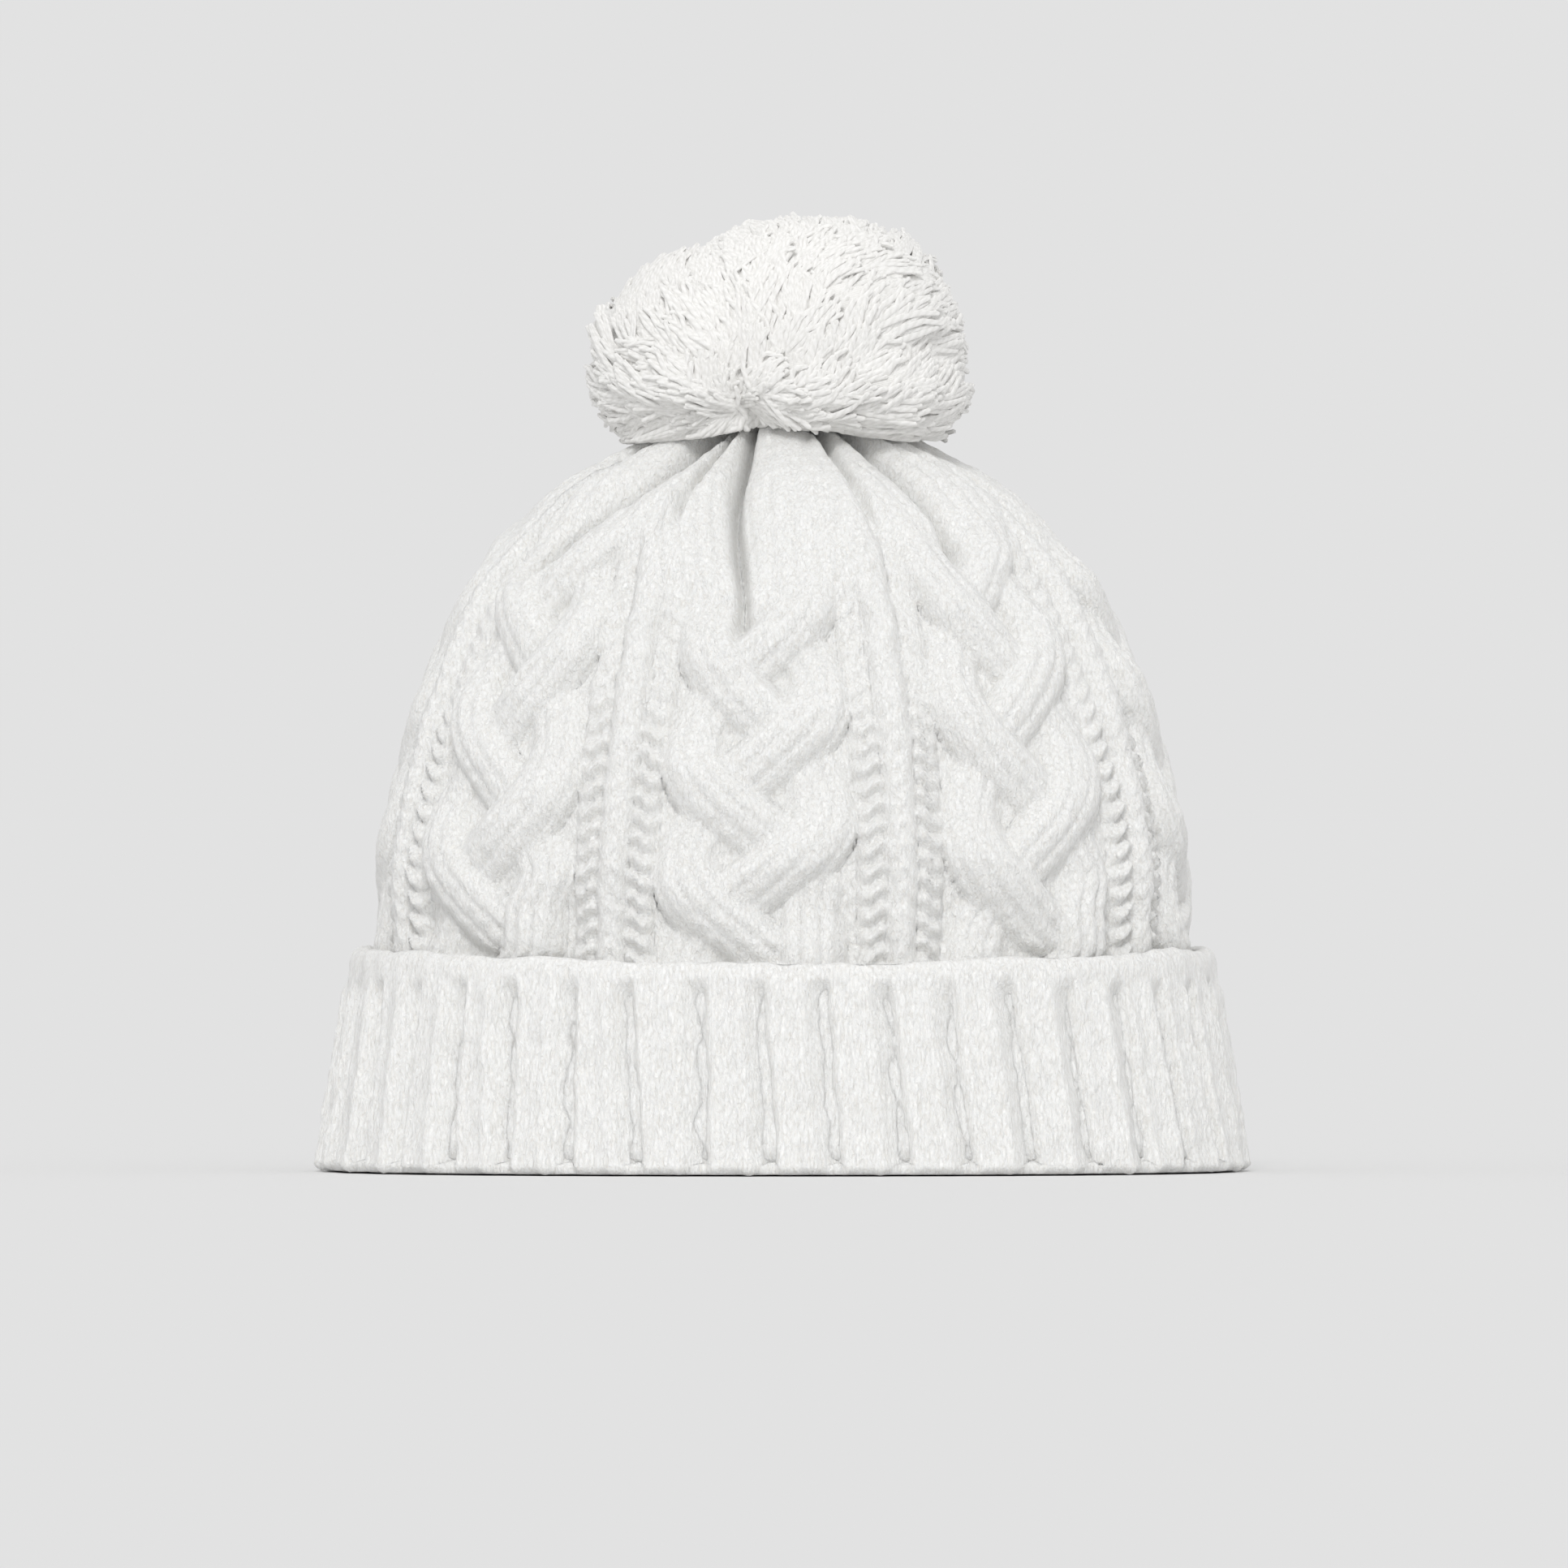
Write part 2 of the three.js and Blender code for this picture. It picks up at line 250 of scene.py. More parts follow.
def add_node(
    tree: bpy.types.NodeTree, kind: str, settings: dict | None = None, inputs: dict | None = None
) -> bpy.types.Node:
    """Adds a shader node.

    Args:
        tree: the node tree.
        kind: the node's type name.
        settings: its own properties.
        inputs: values or output sockets for its inputs, by name or number.

    Returns:
        The node.
    """
    node = tree.nodes.new(kind)
    for key, value in (settings or {}).items():
        setattr(node, key, value)
    for key, value in (inputs or {}).items():
        if isinstance(value, bpy.types.NodeSocket):
            tree.links.new(value, node.inputs[key])
        else:
            node.inputs[key].default_value = value
    return node


# --- finishes ----------------------------------------------------------------------------------


@dataclass(frozen=True)
class BrushedWool:
    """Wool-blend yarn, knitted and then brushed: a matt, milky nap that blurs the stitches.

    The eye gets a soft white with no gloss and fine fibres that mostly run up the knit. The colour turns a
    slightly
    warmer grey in the pits of the nap: painted shade, keyed to the same noise as the nap's bump.
    """

    name: str
    light: str = "#FDFDFB"
    # Painted shade: the greyer colour that the ramp gives the low pits of the nap.
    hollow_shade: str = "#EBE9E5"
    nap_mm: float = 0.75
    felt_mm: float = 2.4
    upright: float = 0.55
    nap_depth_mm: float = 0.95
    felt_depth_mm: float = 0.8
    sheen: float = 0.2
    glow_through_mm: float = 0.9

    def make(self) -> bpy.types.Material:
        """Builds the material.

        Returns:
            The material.
        """
        material = bpy.data.materials.new(self.name)
        material.use_nodes = True
        tree = material.node_tree
        shader = tree.nodes["Principled BSDF"]
        place = add_node(tree, "ShaderNodeTexCoord").outputs["Object"]
        fibres = add_node(
            tree,
            "ShaderNodeMapping",
            inputs={"Vector": place, "Scale": (1 / MM, 1 / MM, self.upright / MM)},
        ).outputs[0]
        felt = add_node(
            tree,
            "ShaderNodeTexNoise",
            inputs={"Vector": fibres, "Scale": 1 / self.felt_mm, "Detail": 2.0, "Distortion": 0.6},
        ).outputs[0]
        nap = add_node(
            tree,
            "ShaderNodeTexNoise",
            inputs={
                "Vector": fibres,
                "Scale": 1 / self.nap_mm,
                "Detail": 5.0,
                "Roughness": 0.62,
                "Distortion": 0.9,
            },
        ).outputs[0]
        # Painted shade: the ramp darkens the colour where the nap noise, which is also the bump's height, is
        # low, so the pits come out greyer.
        ramp = add_node(tree, "ShaderNodeValToRGB", inputs={0: nap})
        ramp.color_ramp.elements[0].position = 0.30
        ramp.color_ramp.elements[0].color = linear(self.hollow_shade)
        ramp.color_ramp.elements[1].position = 0.55
        ramp.color_ramp.elements[1].color = linear(self.light)
        tree.links.new(ramp.outputs[0], shader.inputs["Base Color"])
        lumps = add_node(
            tree,
            "ShaderNodeBump",
            inputs={"Strength": 0.7, "Distance": self.felt_depth_mm * MM, "Height": felt},
        ).outputs[0]
        hairs = add_node(
            tree,
            "ShaderNodeBump",
            inputs={"Strength": 0.9, "Distance": self.nap_depth_mm * MM, "Height": nap, "Normal": lumps},
        ).outputs[0]
        tree.links.new(hairs, shader.inputs["Normal"])
        shader.inputs["Subsurface Weight"].default_value = 0.35
        shader.inputs["Subsurface Radius"].default_value = (1.0, 0.97, 0.93)
        shader.inputs["Subsurface Scale"].default_value = self.glow_through_mm * MM
        shader.inputs["Roughness"].default_value = 0.95
        shader.inputs["Specular IOR Level"].default_value = 0.15
        shader.inputs["Sheen Weight"].default_value = self.sheen
        shader.inputs["Sheen Roughness"].default_value = 0.5
        return material


@dataclass(frozen=True)
class PliedYarn:
    """Soft yarn of two loose plies: the eye gets slanting stripes along each strand and a faint fuzz; the
    stripes' darker parts are painted shade in the grooves between the plies.
    """

    name: str
    light: str = "#F1F0EE"
    # Painted shade: the greyer colour that the ramp gives the grooves between the plies.
    hollow_shade: str = "#E7E6E3"
    twist_mm: float = 2.4
    ply_depth_mm: float = 0.08
    sheen: float = 0.3

    def make(self) -> bpy.types.Material:
        """Builds the material on the strand's own lengthwise UV.

        Returns:
            The material.
        """
        material = bpy.data.materials.new(self.name)
        material.use_nodes = True
        tree = material.node_tree
        shader = tree.nodes["Principled BSDF"]
        along = add_node(tree, "ShaderNodeUVMap", {"uv_map": "cloth"}).outputs[0]
        turn = add_node(
            tree, "ShaderNodeMapping", inputs={"Vector": along, "Scale": (1 / self.twist_mm, 2.0, 1.0)}
        ).outputs[0]
        split = add_node(tree, "ShaderNodeSeparateXYZ", inputs={0: turn})
        phase = add_node(
            tree,
            "ShaderNodeMath",
            {"operation": "ADD"},
            {0: split.outputs[0], 1: split.outputs[1]},
        ).outputs[0]
        angle = add_node(tree, "ShaderNodeMath", {"operation": "MULTIPLY"}, {0: phase, 1: TAU}).outputs[0]
        plies = add_node(tree, "ShaderNodeMath", {"operation": "SINE"}, {0: angle}).outputs[0]
        place = add_node(tree, "ShaderNodeTexCoord").outputs["Object"]
        fuzz = add_node(
            tree,
            "ShaderNodeTexNoise",
            inputs={"Vector": place, "Scale": 1 / (0.5 * MM), "Detail": 3.0, "Distortion": 1.0},
        ).outputs[0]
        height = add_node(
            tree, "ShaderNodeMath", {"operation": "MULTIPLY_ADD"}, {0: plies, 1: 0.3, 2: fuzz}
        ).outputs[0]
        # Painted shade: the ramp darkens the colour where the ply height, which the bump also reads, is low,
        # so the grooves between the plies come out greyer.
        ramp = add_node(tree, "ShaderNodeValToRGB", inputs={0: height})
        ramp.color_ramp.elements[0].position = 0.2
        ramp.color_ramp.elements[0].color = linear(self.hollow_shade)
        ramp.color_ramp.elements[1].position = 0.62
        ramp.color_ramp.elements[1].color = linear(self.light)
        tree.links.new(ramp.outputs[0], shader.inputs["Base Color"])
        bump = add_node(
            tree,
            "ShaderNodeBump",
            inputs={"Strength": 0.7, "Distance": self.ply_depth_mm * MM, "Height": height},
        ).outputs[0]
        tree.links.new(bump, shader.inputs["Normal"])
        shader.inputs["Roughness"].default_value = 0.92
        shader.inputs["Specular IOR Level"].default_value = 0.2
        shader.inputs["Sheen Weight"].default_value = self.sheen
        return material


@dataclass(frozen=True)
class WovenTape:
    """Blank satin-woven label tape: smooth and a little shiny, with fine ribs across."""

    name: str = "satin_label_tape"
    colour: str = "#F4F2EE"
    rib_mm: float = 0.5

    def make(self) -> bpy.types.Material:
        """Builds the material.

        Returns:
            The material.
        """
        material = bpy.data.materials.new(self.name)
        material.use_nodes = True
        tree = material.node_tree
        shader = tree.nodes["Principled BSDF"]
        place = add_node(tree, "ShaderNodeTexCoord").outputs["Object"]
        ribs = add_node(
            tree,
            "ShaderNodeTexWave",
            {"bands_direction": "Z"},
            {"Vector": place, "Scale": 1 / (self.rib_mm * MM) / TAU * 2, "Distortion": 0.4},
        ).outputs[1]
        bump = add_node(
            tree, "ShaderNodeBump", inputs={"Strength": 0.4, "Distance": 0.05 * MM, "Height": ribs}
        ).outputs[0]
        tree.links.new(bump, shader.inputs["Normal"])
        shader.inputs["Base Color"].default_value = linear(self.colour)
        shader.inputs["Roughness"].default_value = 0.45
        return material


# --- the hat's form ----------------------------------------------------------------------------


@dataclass(frozen=True)
class HatForm:
    """The smooth form under the knit: an oval plan, a domed crown and a flared cuff."""

    crown_half_width: float = 96.9
    crown_base_z: float = 50.0
    apex_z: float = 171.7
    crown_fall: float = 1.66
    crown_round: float = 0.32
    hole_radius: float = 5.5
    depth_share: float = 0.79
    oval_power: float = 2.3
    hem_half_width: float = 110.0
    cuff_top_half_width: float = 101.8
    cuff_front_z: float = 49.6
    cuff_side_z: float = 53.0
    gather_lift: float = 5.6
    lift_widths: tuple[float, float] = (44.0, 15.0)
    mouth_dip: float = 1.5
    dip_width: float = 12.5

    def plan(self, share: np.ndarray) -> tuple[np.ndarray, np.ndarray]:
        """A point of the unit oval, |x|^n + |y/d|^n = 1, at a share of the way round its edge.

        Args:
            share: 0 at the middle of the front, growing towards +X.

        Returns:
            The point's x and y.
        """
        angle = np.linspace(-math.pi / 2, 1.5 * math.pi, 16385)
        across = np.abs(np.cos(angle)) ** self.oval_power
        along = (np.abs(np.sin(angle)) / self.depth_share) ** self.oval_power
        reach = (across + along) ** (-1 / self.oval_power)
        x, y = reach * np.cos(angle), reach * np.sin(angle)
        length = np.concatenate([[0], np.cumsum(np.hypot(np.diff(x), np.diff(y)))])
        at = np.mod(share, 1.0) * length[-1]
        return np.interp(at, length, x), np.interp(at, length, y)

    def perimeter(self) -> float:
        """The length round the unit oval.

        Returns:
            The length, in half-widths.
        """
        x, y = self.plan(np.linspace(0, 1 - 1e-9, 4001))
        return float(np.hypot(np.diff(x), np.diff(y)).sum())

    def ring_points(self, share: np.ndarray, half: np.ndarray, z: np.ndarray) -> np.ndarray:
        """Points of the oval plan at given half-widths and heights.

        Args:
            share: one share of the way round for each column.
            half: half-widths, one a row or columns x rows.
            z: heights, likewise.

        Returns:
            Points, columns x rows x 3.
        """
        x, y = self.plan(share)
        heights = np.broadcast_to(z, (len(share), np.shape(z)[-1]))
        return np.stack([x[:, None] * half, y[:, None] * half, heights], axis=-1)

    def meridian(self, base_z: float) -> tuple[np.ndarray, np.ndarray, np.ndarray]:
        """The crown's side line, from base_z to the hole at the apex, as a fine table.

        The half-width is W(1 - s^f)^r, where s is the share of the way from the crown's base to its apex. The
        gathered top is lifted, and dips again into its hole.

        Args:
            base_z: where the table starts.

        Returns:
            Lengths along the line, heights and half-widths.
        """
        g = np.linspace(1.0, 0.0, 6001)
        g = g[g > (self.hole_radius / self.crown_half_width) ** (1 / (3 * self.crown_round))]
        half = self.crown_half_width * g ** (3 * self.crown_round)
        z = self.crown_base_z + (1 - g**3) ** (1 / self.crown_fall) * (self.apex_z - self.crown_base_z)
        z = np.concatenate([[base_z], z])
        half = np.concatenate([[self.crown_half_width], half])
        dip = self.mouth_dip * ease(half, self.dip_width, self.hole_radius)
        z = z + self.gather_lift * (ease(half, *self.lift_widths) - dip)
        mean_plan = (1 + self.depth_share) / 2
        length = np.concatenate([[0], np.cumsum(np.hypot(np.diff(z), mean_plan * np.diff(half)))])
        return length, z, half

    def cuff_half_width(self, z: np.ndarray) -> np.ndarray:
        """Half the cuff's outer width, on a straight flare.

        Args:
            z: the height.

        Returns:
            Millimetres.
        """
        return self.hem_half_width + (self.cuff_top_half_width - self.hem_half_width) * z / self.cuff_front_z

    def cuff_top(self, share: np.ndarray) -> np.ndarray:
        """Height of the cuff's upper edge, lowest at the middle of the front and of the back.

        Args:
            share: share of the way round.

        Returns:
            Millimetres.
        """
        x, _ = self.plan(share)
        return self.cuff_front_z + (self.cuff_side_z - self.cuff_front_z) * x**2


def surface_normals(points: np.ndarray, wrap: bool) -> np.ndarray:
    """Unit normals of a grid of points, from the cross product of its two directions.

    Args:
        points: columns x rows x 3; columns run anticlockwise seen from above and rows run up.
        wrap: whether the last column joins the first.

    Returns:
        Normals of the same shape, facing out.
    """
    if wrap:
        sideways = np.roll(points, -1, axis=0) - np.roll(points, 1, axis=0)
    else:
        sideways = np.gradient(points, axis=0)
    upward = np.gradient(points, axis=1)
    return unit(np.cross(sideways, upward))


class Half(Enum):
    """The two halves of the crown's surface, met in a purl channel at each side."""

    FRONT = 0
    BACK = 1


@dataclass(frozen=True)
class CrownKnit:
    """The crown: eight plaited cables with purl channels and a knit column between, gathered at the top."""

    form: HatForm
    base_z: float = 45.7
    cables: int = 8
    first_cable: float = -0.0111
    pitch_mm: float = 69.0
    panel_half_mm: float = 25.0
    rope_radius: float = 8.6
    rope_height: float = 6.2
    rope_lift: float = 2.1
    rope_groove: float = 0.62
    cuff_groove: float = 0.5
    rope_stitch: float = 0.14
    held_lengths: tuple[float, float] = (27.0, 15.0)
    held_place: float = 0.76
    stitch_mm: float = 4.9
    wale_mm: float = 4.4
    ground: float = -6.8
    crease_round: float = 0.32
    unevenness: float = 0.30
    roughness: float = 0.10
    stand_out: float = 2.4
    column_half: float = 4.0
    column_top: float = -1.5
    column_fall: float = 5.0
    column_groove: float = 0.3
    column_stitch: float = 0.24
    purl_width: float = 6.3
    purl_under: float = 1.2
    purl_rise: float = 1.7
    purl_bar: float = 2.4
    purl_shift: float = 0.22
    purl_fade: tuple[float, float] = (74.0, 50.0)
    smooth_top: float = -1.9
    side_width: float = 0.026
    side_flat: float = 0.62
    centre_lean: float = 5.0
    lean_heights: tuple[float, float] = (125.0, 165.0)
    wall: float = 8.8
    fold_depth: float = 8.4
    column_fold_depth: float = 4.6
    column_fold_place: float = 0.57
    fold_swell: float = 0.17
    fold_growth: float = 24.0
    fold_heights: tuple[float, float] = (143.0, 174.0)
    slit_depth: float = 5.6
    slit_half: float = 1.25
    foot_out: float = 0.8
    foot_heights: tuple[float, float] = (49.4, 46.8)
    columns: int = 372
    rows: int = 214
    inner_rows: int = 30
    eye_heights: tuple[float, ...] = (114.5, 99.7, 108, 121, 96, 104, 118, 99.1)
    plait_lengths: tuple[float, ...] = (84, 98, 92, 96, 90, 94, 92, 99)
    plait_tops: tuple[float, ...] = (133, 147, 143, 148, 137, 144, 149, 144)
    fold_strengths: tuple[float, ...] = (1.05, 0.8, 0.85, 0.95, 0.8, 1.05, 0.85, 1.6)
    fold_leans: tuple[tuple[float, float], ...] = (
        (-0.07, -0.07),
        (-0.05, -0.05),
        (0.1, -0.04),
        (-0.08, 0.02),
        (0.06, 0.0),
        (-0.12, 0.06),
        (0.04, -0.08),
        (-0.19, 0.26),
    )
    column_fold_starts: tuple[float, ...] = (148, 137, 145, 139, 133, 142, 136, 150)

    def length_at(self, z: float) -> float:
        """The length up the side line at which the crown has a height.

        Args:
            z: the height.

        Returns:
            Millimetres.
        """
        length, height, _ = self.form.meridian(self.base_z)
        return float(np.interp(z, height, length))

    def ropes(self, x: np.ndarray, up: np.ndarray, shrink: np.ndarray, cable: np.ndarray) -> list[np.ndarray]:
        """Heights of a plait's three ropes.

        A rope's middle follows x = A sin(p), with p growing by a whole turn in the plait's length and the
        three ropes a third of a turn apart, and its height follows sin(2p), so that each passes over one and
        under the next. Its section is half an ellipse, with grooves between its wales and slanted stitches.

        Args:
            x: distance from the cable's middle.
            up: length up the crown.
            shrink: how narrow the panel is there, as a share of its width at the cuff.
            cable: the cable's number.

        Returns:
            One height for each rope.
        """
        eyes = np.array([self.length_at(z) for z in self.eye_heights])
        plait = np.array(self.plait_lengths)[cable]
        radius = self.rope_radius * (0.35 + 0.65 * shrink)
        swing = self.panel_half_mm * shrink - radius
        near_cuff = ease(up, 30.0, 15.0) * ease(x, 0.0, 5.0)
        layers = []
        for strand in range(3):
            phase = TAU * ((up - eyes[cable]) / plait + 0.25 + strand / 3)
            held = ease(up, *self.held_lengths) * ease(np.sin(phase), 0.30, 0.62)
            slope = swing * TAU / plait * np.cos(phase) * (1 - held)
            middle = swing * (np.sin(phase) * (1 - held) + self.held_place * held)
            off = (x - middle) / np.hypot(1, slope)
            section = np.sqrt(np.clip(1 - (off / radius) ** 2, 0, 1))
            top = -self.rope_lift + self.rope_lift * np.sin(2 * phase)
            height = top - self.rope_height * (1 - section)
            groove = (0.5 - 0.5 * np.cos(TAU * off / self.wale_mm)) ** 4
            chevron = np.abs(np.mod(off / self.wale_mm + 0.5, 1) - 0.5) * self.wale_mm
            stitches = np.cos(TAU * (up * np.hypot(1, slope) + 1.2 * chevron) / self.stitch_mm)
            height = height - (self.rope_groove + self.cuff_groove * near_cuff) * groove
            height = height + self.rope_stitch * stitches * section
            layers.append(np.where(np.abs(off) < radius, height, self.ground - 2))
        return layers

    def between(self, m: np.ndarray, up: np.ndarray) -> list[np.ndarray]:
        """Heights of the knit column between two cables and of the purl channels beside it.

        The column is half an ellipse with a groove between its two wales and V stitches; a purl channel is a
        ladder of bars, one a row, that stand half a row apart on its two sides.

        Args:
            m: distance from the middle of the column.
            up: length up the crown.

        Returns:
            The column's height and the channels' height.
        """
        section = np.sqrt(np.clip(1 - (m / self.column_half) ** 2, 0, 1))
        leg = np.abs(np.mod(m / self.wale_mm, 1) - 0.5) * self.wale_mm
        stitch = np.cos(TAU * (up - 1.3 * leg) / self.stitch_mm)
        column = self.column_top - self.column_fall * (1 - section)
        column = column - self.column_groove * np.exp(-((m / 0.8) ** 2))
        column = column + self.column_stitch * stitch * section
        column = np.where(np.abs(m) < self.column_half, column, self.ground - 2)
        beside = (np.abs(m) - self.column_half + self.purl_under) / (self.purl_width + self.purl_under)
        window = np.sqrt(np.clip(1 - (2 * beside - 1) ** 2, 0, 1))
        zigzag = self.purl_shift * np.tanh((beside - 0.5) / 0.12)
        bars = 0.5 + 0.5 * np.cos(TAU * (up / self.stitch_mm + zigzag + 0.25 * np.sign(m)))
        strength = 0.35 + 0.65 * ease(up, *self.purl_fade)
        purl = self.ground + (self.purl_rise + self.purl_bar * bars**0.9 * strength) * window
        return [column, np.where((beside > 0) & (beside < 1), purl, self.ground - 2)]

    def gathers(self, local: np.ndarray, up: np.ndarray, shrink: np.ndarray, cable: np.ndarray) -> np.ndarray:
        """Depth of the folds that draw the crown in: a round-sided valley with a sharp slit along its middle.

        Each cable folds in along its middle, from the top of its plait up, and each column along its right
        edge. The height is D g (s - e^(-d/w)), where d is the distance to the fold's line, g grows up the
        fold and s is the swell of the cloth between folds. The slit, a narrow bell, is taken from that.

        Args:
            local: place in the cable's pitch, from -0.5 to 0.5.
            up: length up the crown.
            shrink: width as a share of the width at the cuff.
            cable: the cable's number.

        Returns:
            Millimetres, below zero in the folds and a little above it between them.
        """
        pitch = self.pitch_mm * shrink
        table, heights, _ = self.form.meridian(self.base_z)
        z = np.interp(up, table, heights)
        low, high = np.array(self.fold_leans).T[:, cable]
        lines = (
            (
                local - low - (high - low) * ease(z, *self.fold_heights),
                np.array(self.plait_tops)[cable] - 6.0,
                self.fold_depth * np.array(self.fold_strengths)[cable],
            ),
            (
                local - self.column_fold_place,
                np.array(self.column_fold_starts)[cable],
                self.column_fold_depth,
            ),
            (
                local + 1 - self.column_fold_place,
                np.array(self.column_fold_starts)[(cable - 1) % self.cables],
                self.column_fold_depth,
            ),
        )
        total = np.zeros(local.shape)
        for place, start, depth in lines:
            away = np.abs(place) * pitch
            growth = ease(z, start, start + self.fold_growth)
            slit = ease(z, start - 3.0, start + 7.0) * (depth / self.fold_depth)
            width = 0.17 * pitch + 0.4
            total += np.minimum(depth, 0.34 * pitch) * growth * (self.fold_swell - np.exp(-away / width))
            half = self.slit_half * (0.4 + 0.6 * np.maximum(depth / self.fold_depth, 1.0) ** 1.5)
            total -= slit * self.slit_depth * np.exp(-((away / half) ** 2)) * ease(shrink, 0.1, 0.3)
        return total

    def relief(self, share: np.ndarray, up: np.ndarray, shrink: np.ndarray) -> tuple[np.ndarray, np.ndarray]:
        """How far the knit's face stands from the smooth form, and how much of that is gathers.

        Args:
            share: share of the way round.
            up: length up the crown.
            shrink: width as a share of the width at the cuff.

        Returns:
            The whole relief and the gathers alone, in millimetres; mostly below the form.
        """
        table, heights, _ = self.form.meridian(self.base_z)
        z = np.interp(up, table, heights)
        middle = np.mod(share + 0.5, 1.0) - 0.5
        lean = self.centre_lean * ease(z, *self.lean_heights) * np.exp(-(((middle + 0.03) / 0.055) ** 2))
        loose = share + lean / (self.pitch_mm * self.cables * np.maximum(shrink, 0.2))
        loose = loose + 0.0010 * wander(share, up, 3, 9, 60) * ease(shrink, 0.1, 0.9)
        rows = up + 1.3 * wander(share, up, 5, 6, 70)
        turn = (loose - self.first_cable) * self.cables
        cable = np.mod(np.round(turn).astype(int), self.cables)
        local = turn - np.round(turn)
        x = local * self.pitch_mm * shrink
        m = (np.abs(local) - 0.5) * self.pitch_mm * shrink * np.sign(local)
        m = m + 0.3 * wander(share, up, 14, 90, 9)
        rough = wander(share, up, 11, 120, 5)
        backing = self.ground + 0.25 * np.cos(TAU * rows / self.stitch_mm) * np.cos(TAU * x / self.wale_mm)
        layers = [backing, *self.ropes(x, rows, shrink, cable), *self.between(m, rows)]
        knit = soft_max(layers, self.crease_round)
        knit = knit + self.unevenness * wander(share, up, 12, 40, 14) + self.roughness * rough
        folds = self.gathers(local, up, shrink, cable)
        tops = np.array(self.plait_tops)[cable]
        fade = ease(z, tops + 11.0, tops - 4.0)
        wales = 0.5 * (0.5 + 0.5 * np.cos(TAU * x / self.wale_mm)) ** 4
        smooth = self.smooth_top - wales + 0.12 * np.cos(TAU * rows / self.stitch_mm)
        smooth = smooth + 0.25 * wander(share, up, 13, 50, 12)
        knit = knit * fade + smooth * (1 - fade)
        side = np.exp(-(((np.abs(middle) - 0.25) / self.side_width) ** 2))
        knit = knit * (1 - self.side_flat * side) - 0.2 * side
        rise = self.stand_out * ease(z, 56, 74) * (1 - 0.55 * side)
        foot = ease(z, *self.foot_heights)
        return (knit + folds * (1 - 0.5 * side) + rise) * (1 - foot) + self.foot_out * foot, folds

    def face(self, share: np.ndarray, length: np.ndarray) -> tuple[np.ndarray, np.ndarray, np.ndarray]:
        """The smooth form's points, their normals and the shrink on a grid.

        Args:
            share: one share a column.
            length: one length up the crown a row.

        Returns:
            Points, normals and the width's share, each columns x rows.
        """
        table, heights, halves = self.form.meridian(self.base_z)
        z = np.interp(length, table, heights)
        half = np.interp(length, table, halves)
        points = self.form.ring_points(share, half, z)
        shrink = np.broadcast_to(half / self.form.crown_half_width, points.shape[:2])
        return points, surface_normals(points, False), shrink

    def build(self, half: Half, finish: bpy.types.Material) -> bpy.types.Object:
        """Knits one half of the crown as a closed shell.

        Args:
            half: which half.
            finish: its material.

        Returns:
            The piece.
        """
        side = self.first_cable - 1.5 / self.cables + 0.5 * half.value
        step = 0.5 / (self.columns - 1)
        share = side + step * np.arange(-1, self.columns + 1)
        total = self.form.meridian(self.base_z)[0][-1]
        outer_up = np.linspace(0, total, self.rows)
        inner_up = np.linspace(0, total, self.inner_rows)
        grids = []
        for up in (outer_up, inner_up):
            points, normals, shrink = self.face(share, up)
            lengths = np.broadcast_to(up, shrink.shape)
            relief, gathers = self.relief(np.broadcast_to(share[:, None], shrink.shape), lengths, shrink)
            if up is inner_up:
                relief = gathers * 0.8 - self.wall
            points = points + normals * relief[..., None]
            shading = surface_normals(points, False)
            grids.append((points[1:-1], shading[1:-1], lengths[1:-1]))
        (outer, outer_normals, outer_length), (inner, inner_normals, inner_length) = grids
        inner, inner_normals = inner[:, ::-1], -inner_normals[:, ::-1]
        ring = np.concatenate([outer, inner], axis=1)
        cloth = np.broadcast_to(share[1:-1, None] * self.pitch_mm * self.cables, ring.shape[:2])
        lengths = np.concatenate([outer_length, inner_length[:, ::-1]], axis=1)
        uv = np.stack([cloth, lengths], axis=-1).reshape(-1, 2)
        normals = np.concatenate([outer_normals, inner_normals], axis=1).reshape(-1, 3)
        name = f"crown_knit_{half.name.lower()}"
        faces = slab_faces(self.columns, ring.shape[1])
        piece = put_mesh(name, ring.reshape(-1, 3), faces, finish, uv, normals)
        settle(piece, "crown_cable_knit", "hat")
        return piece


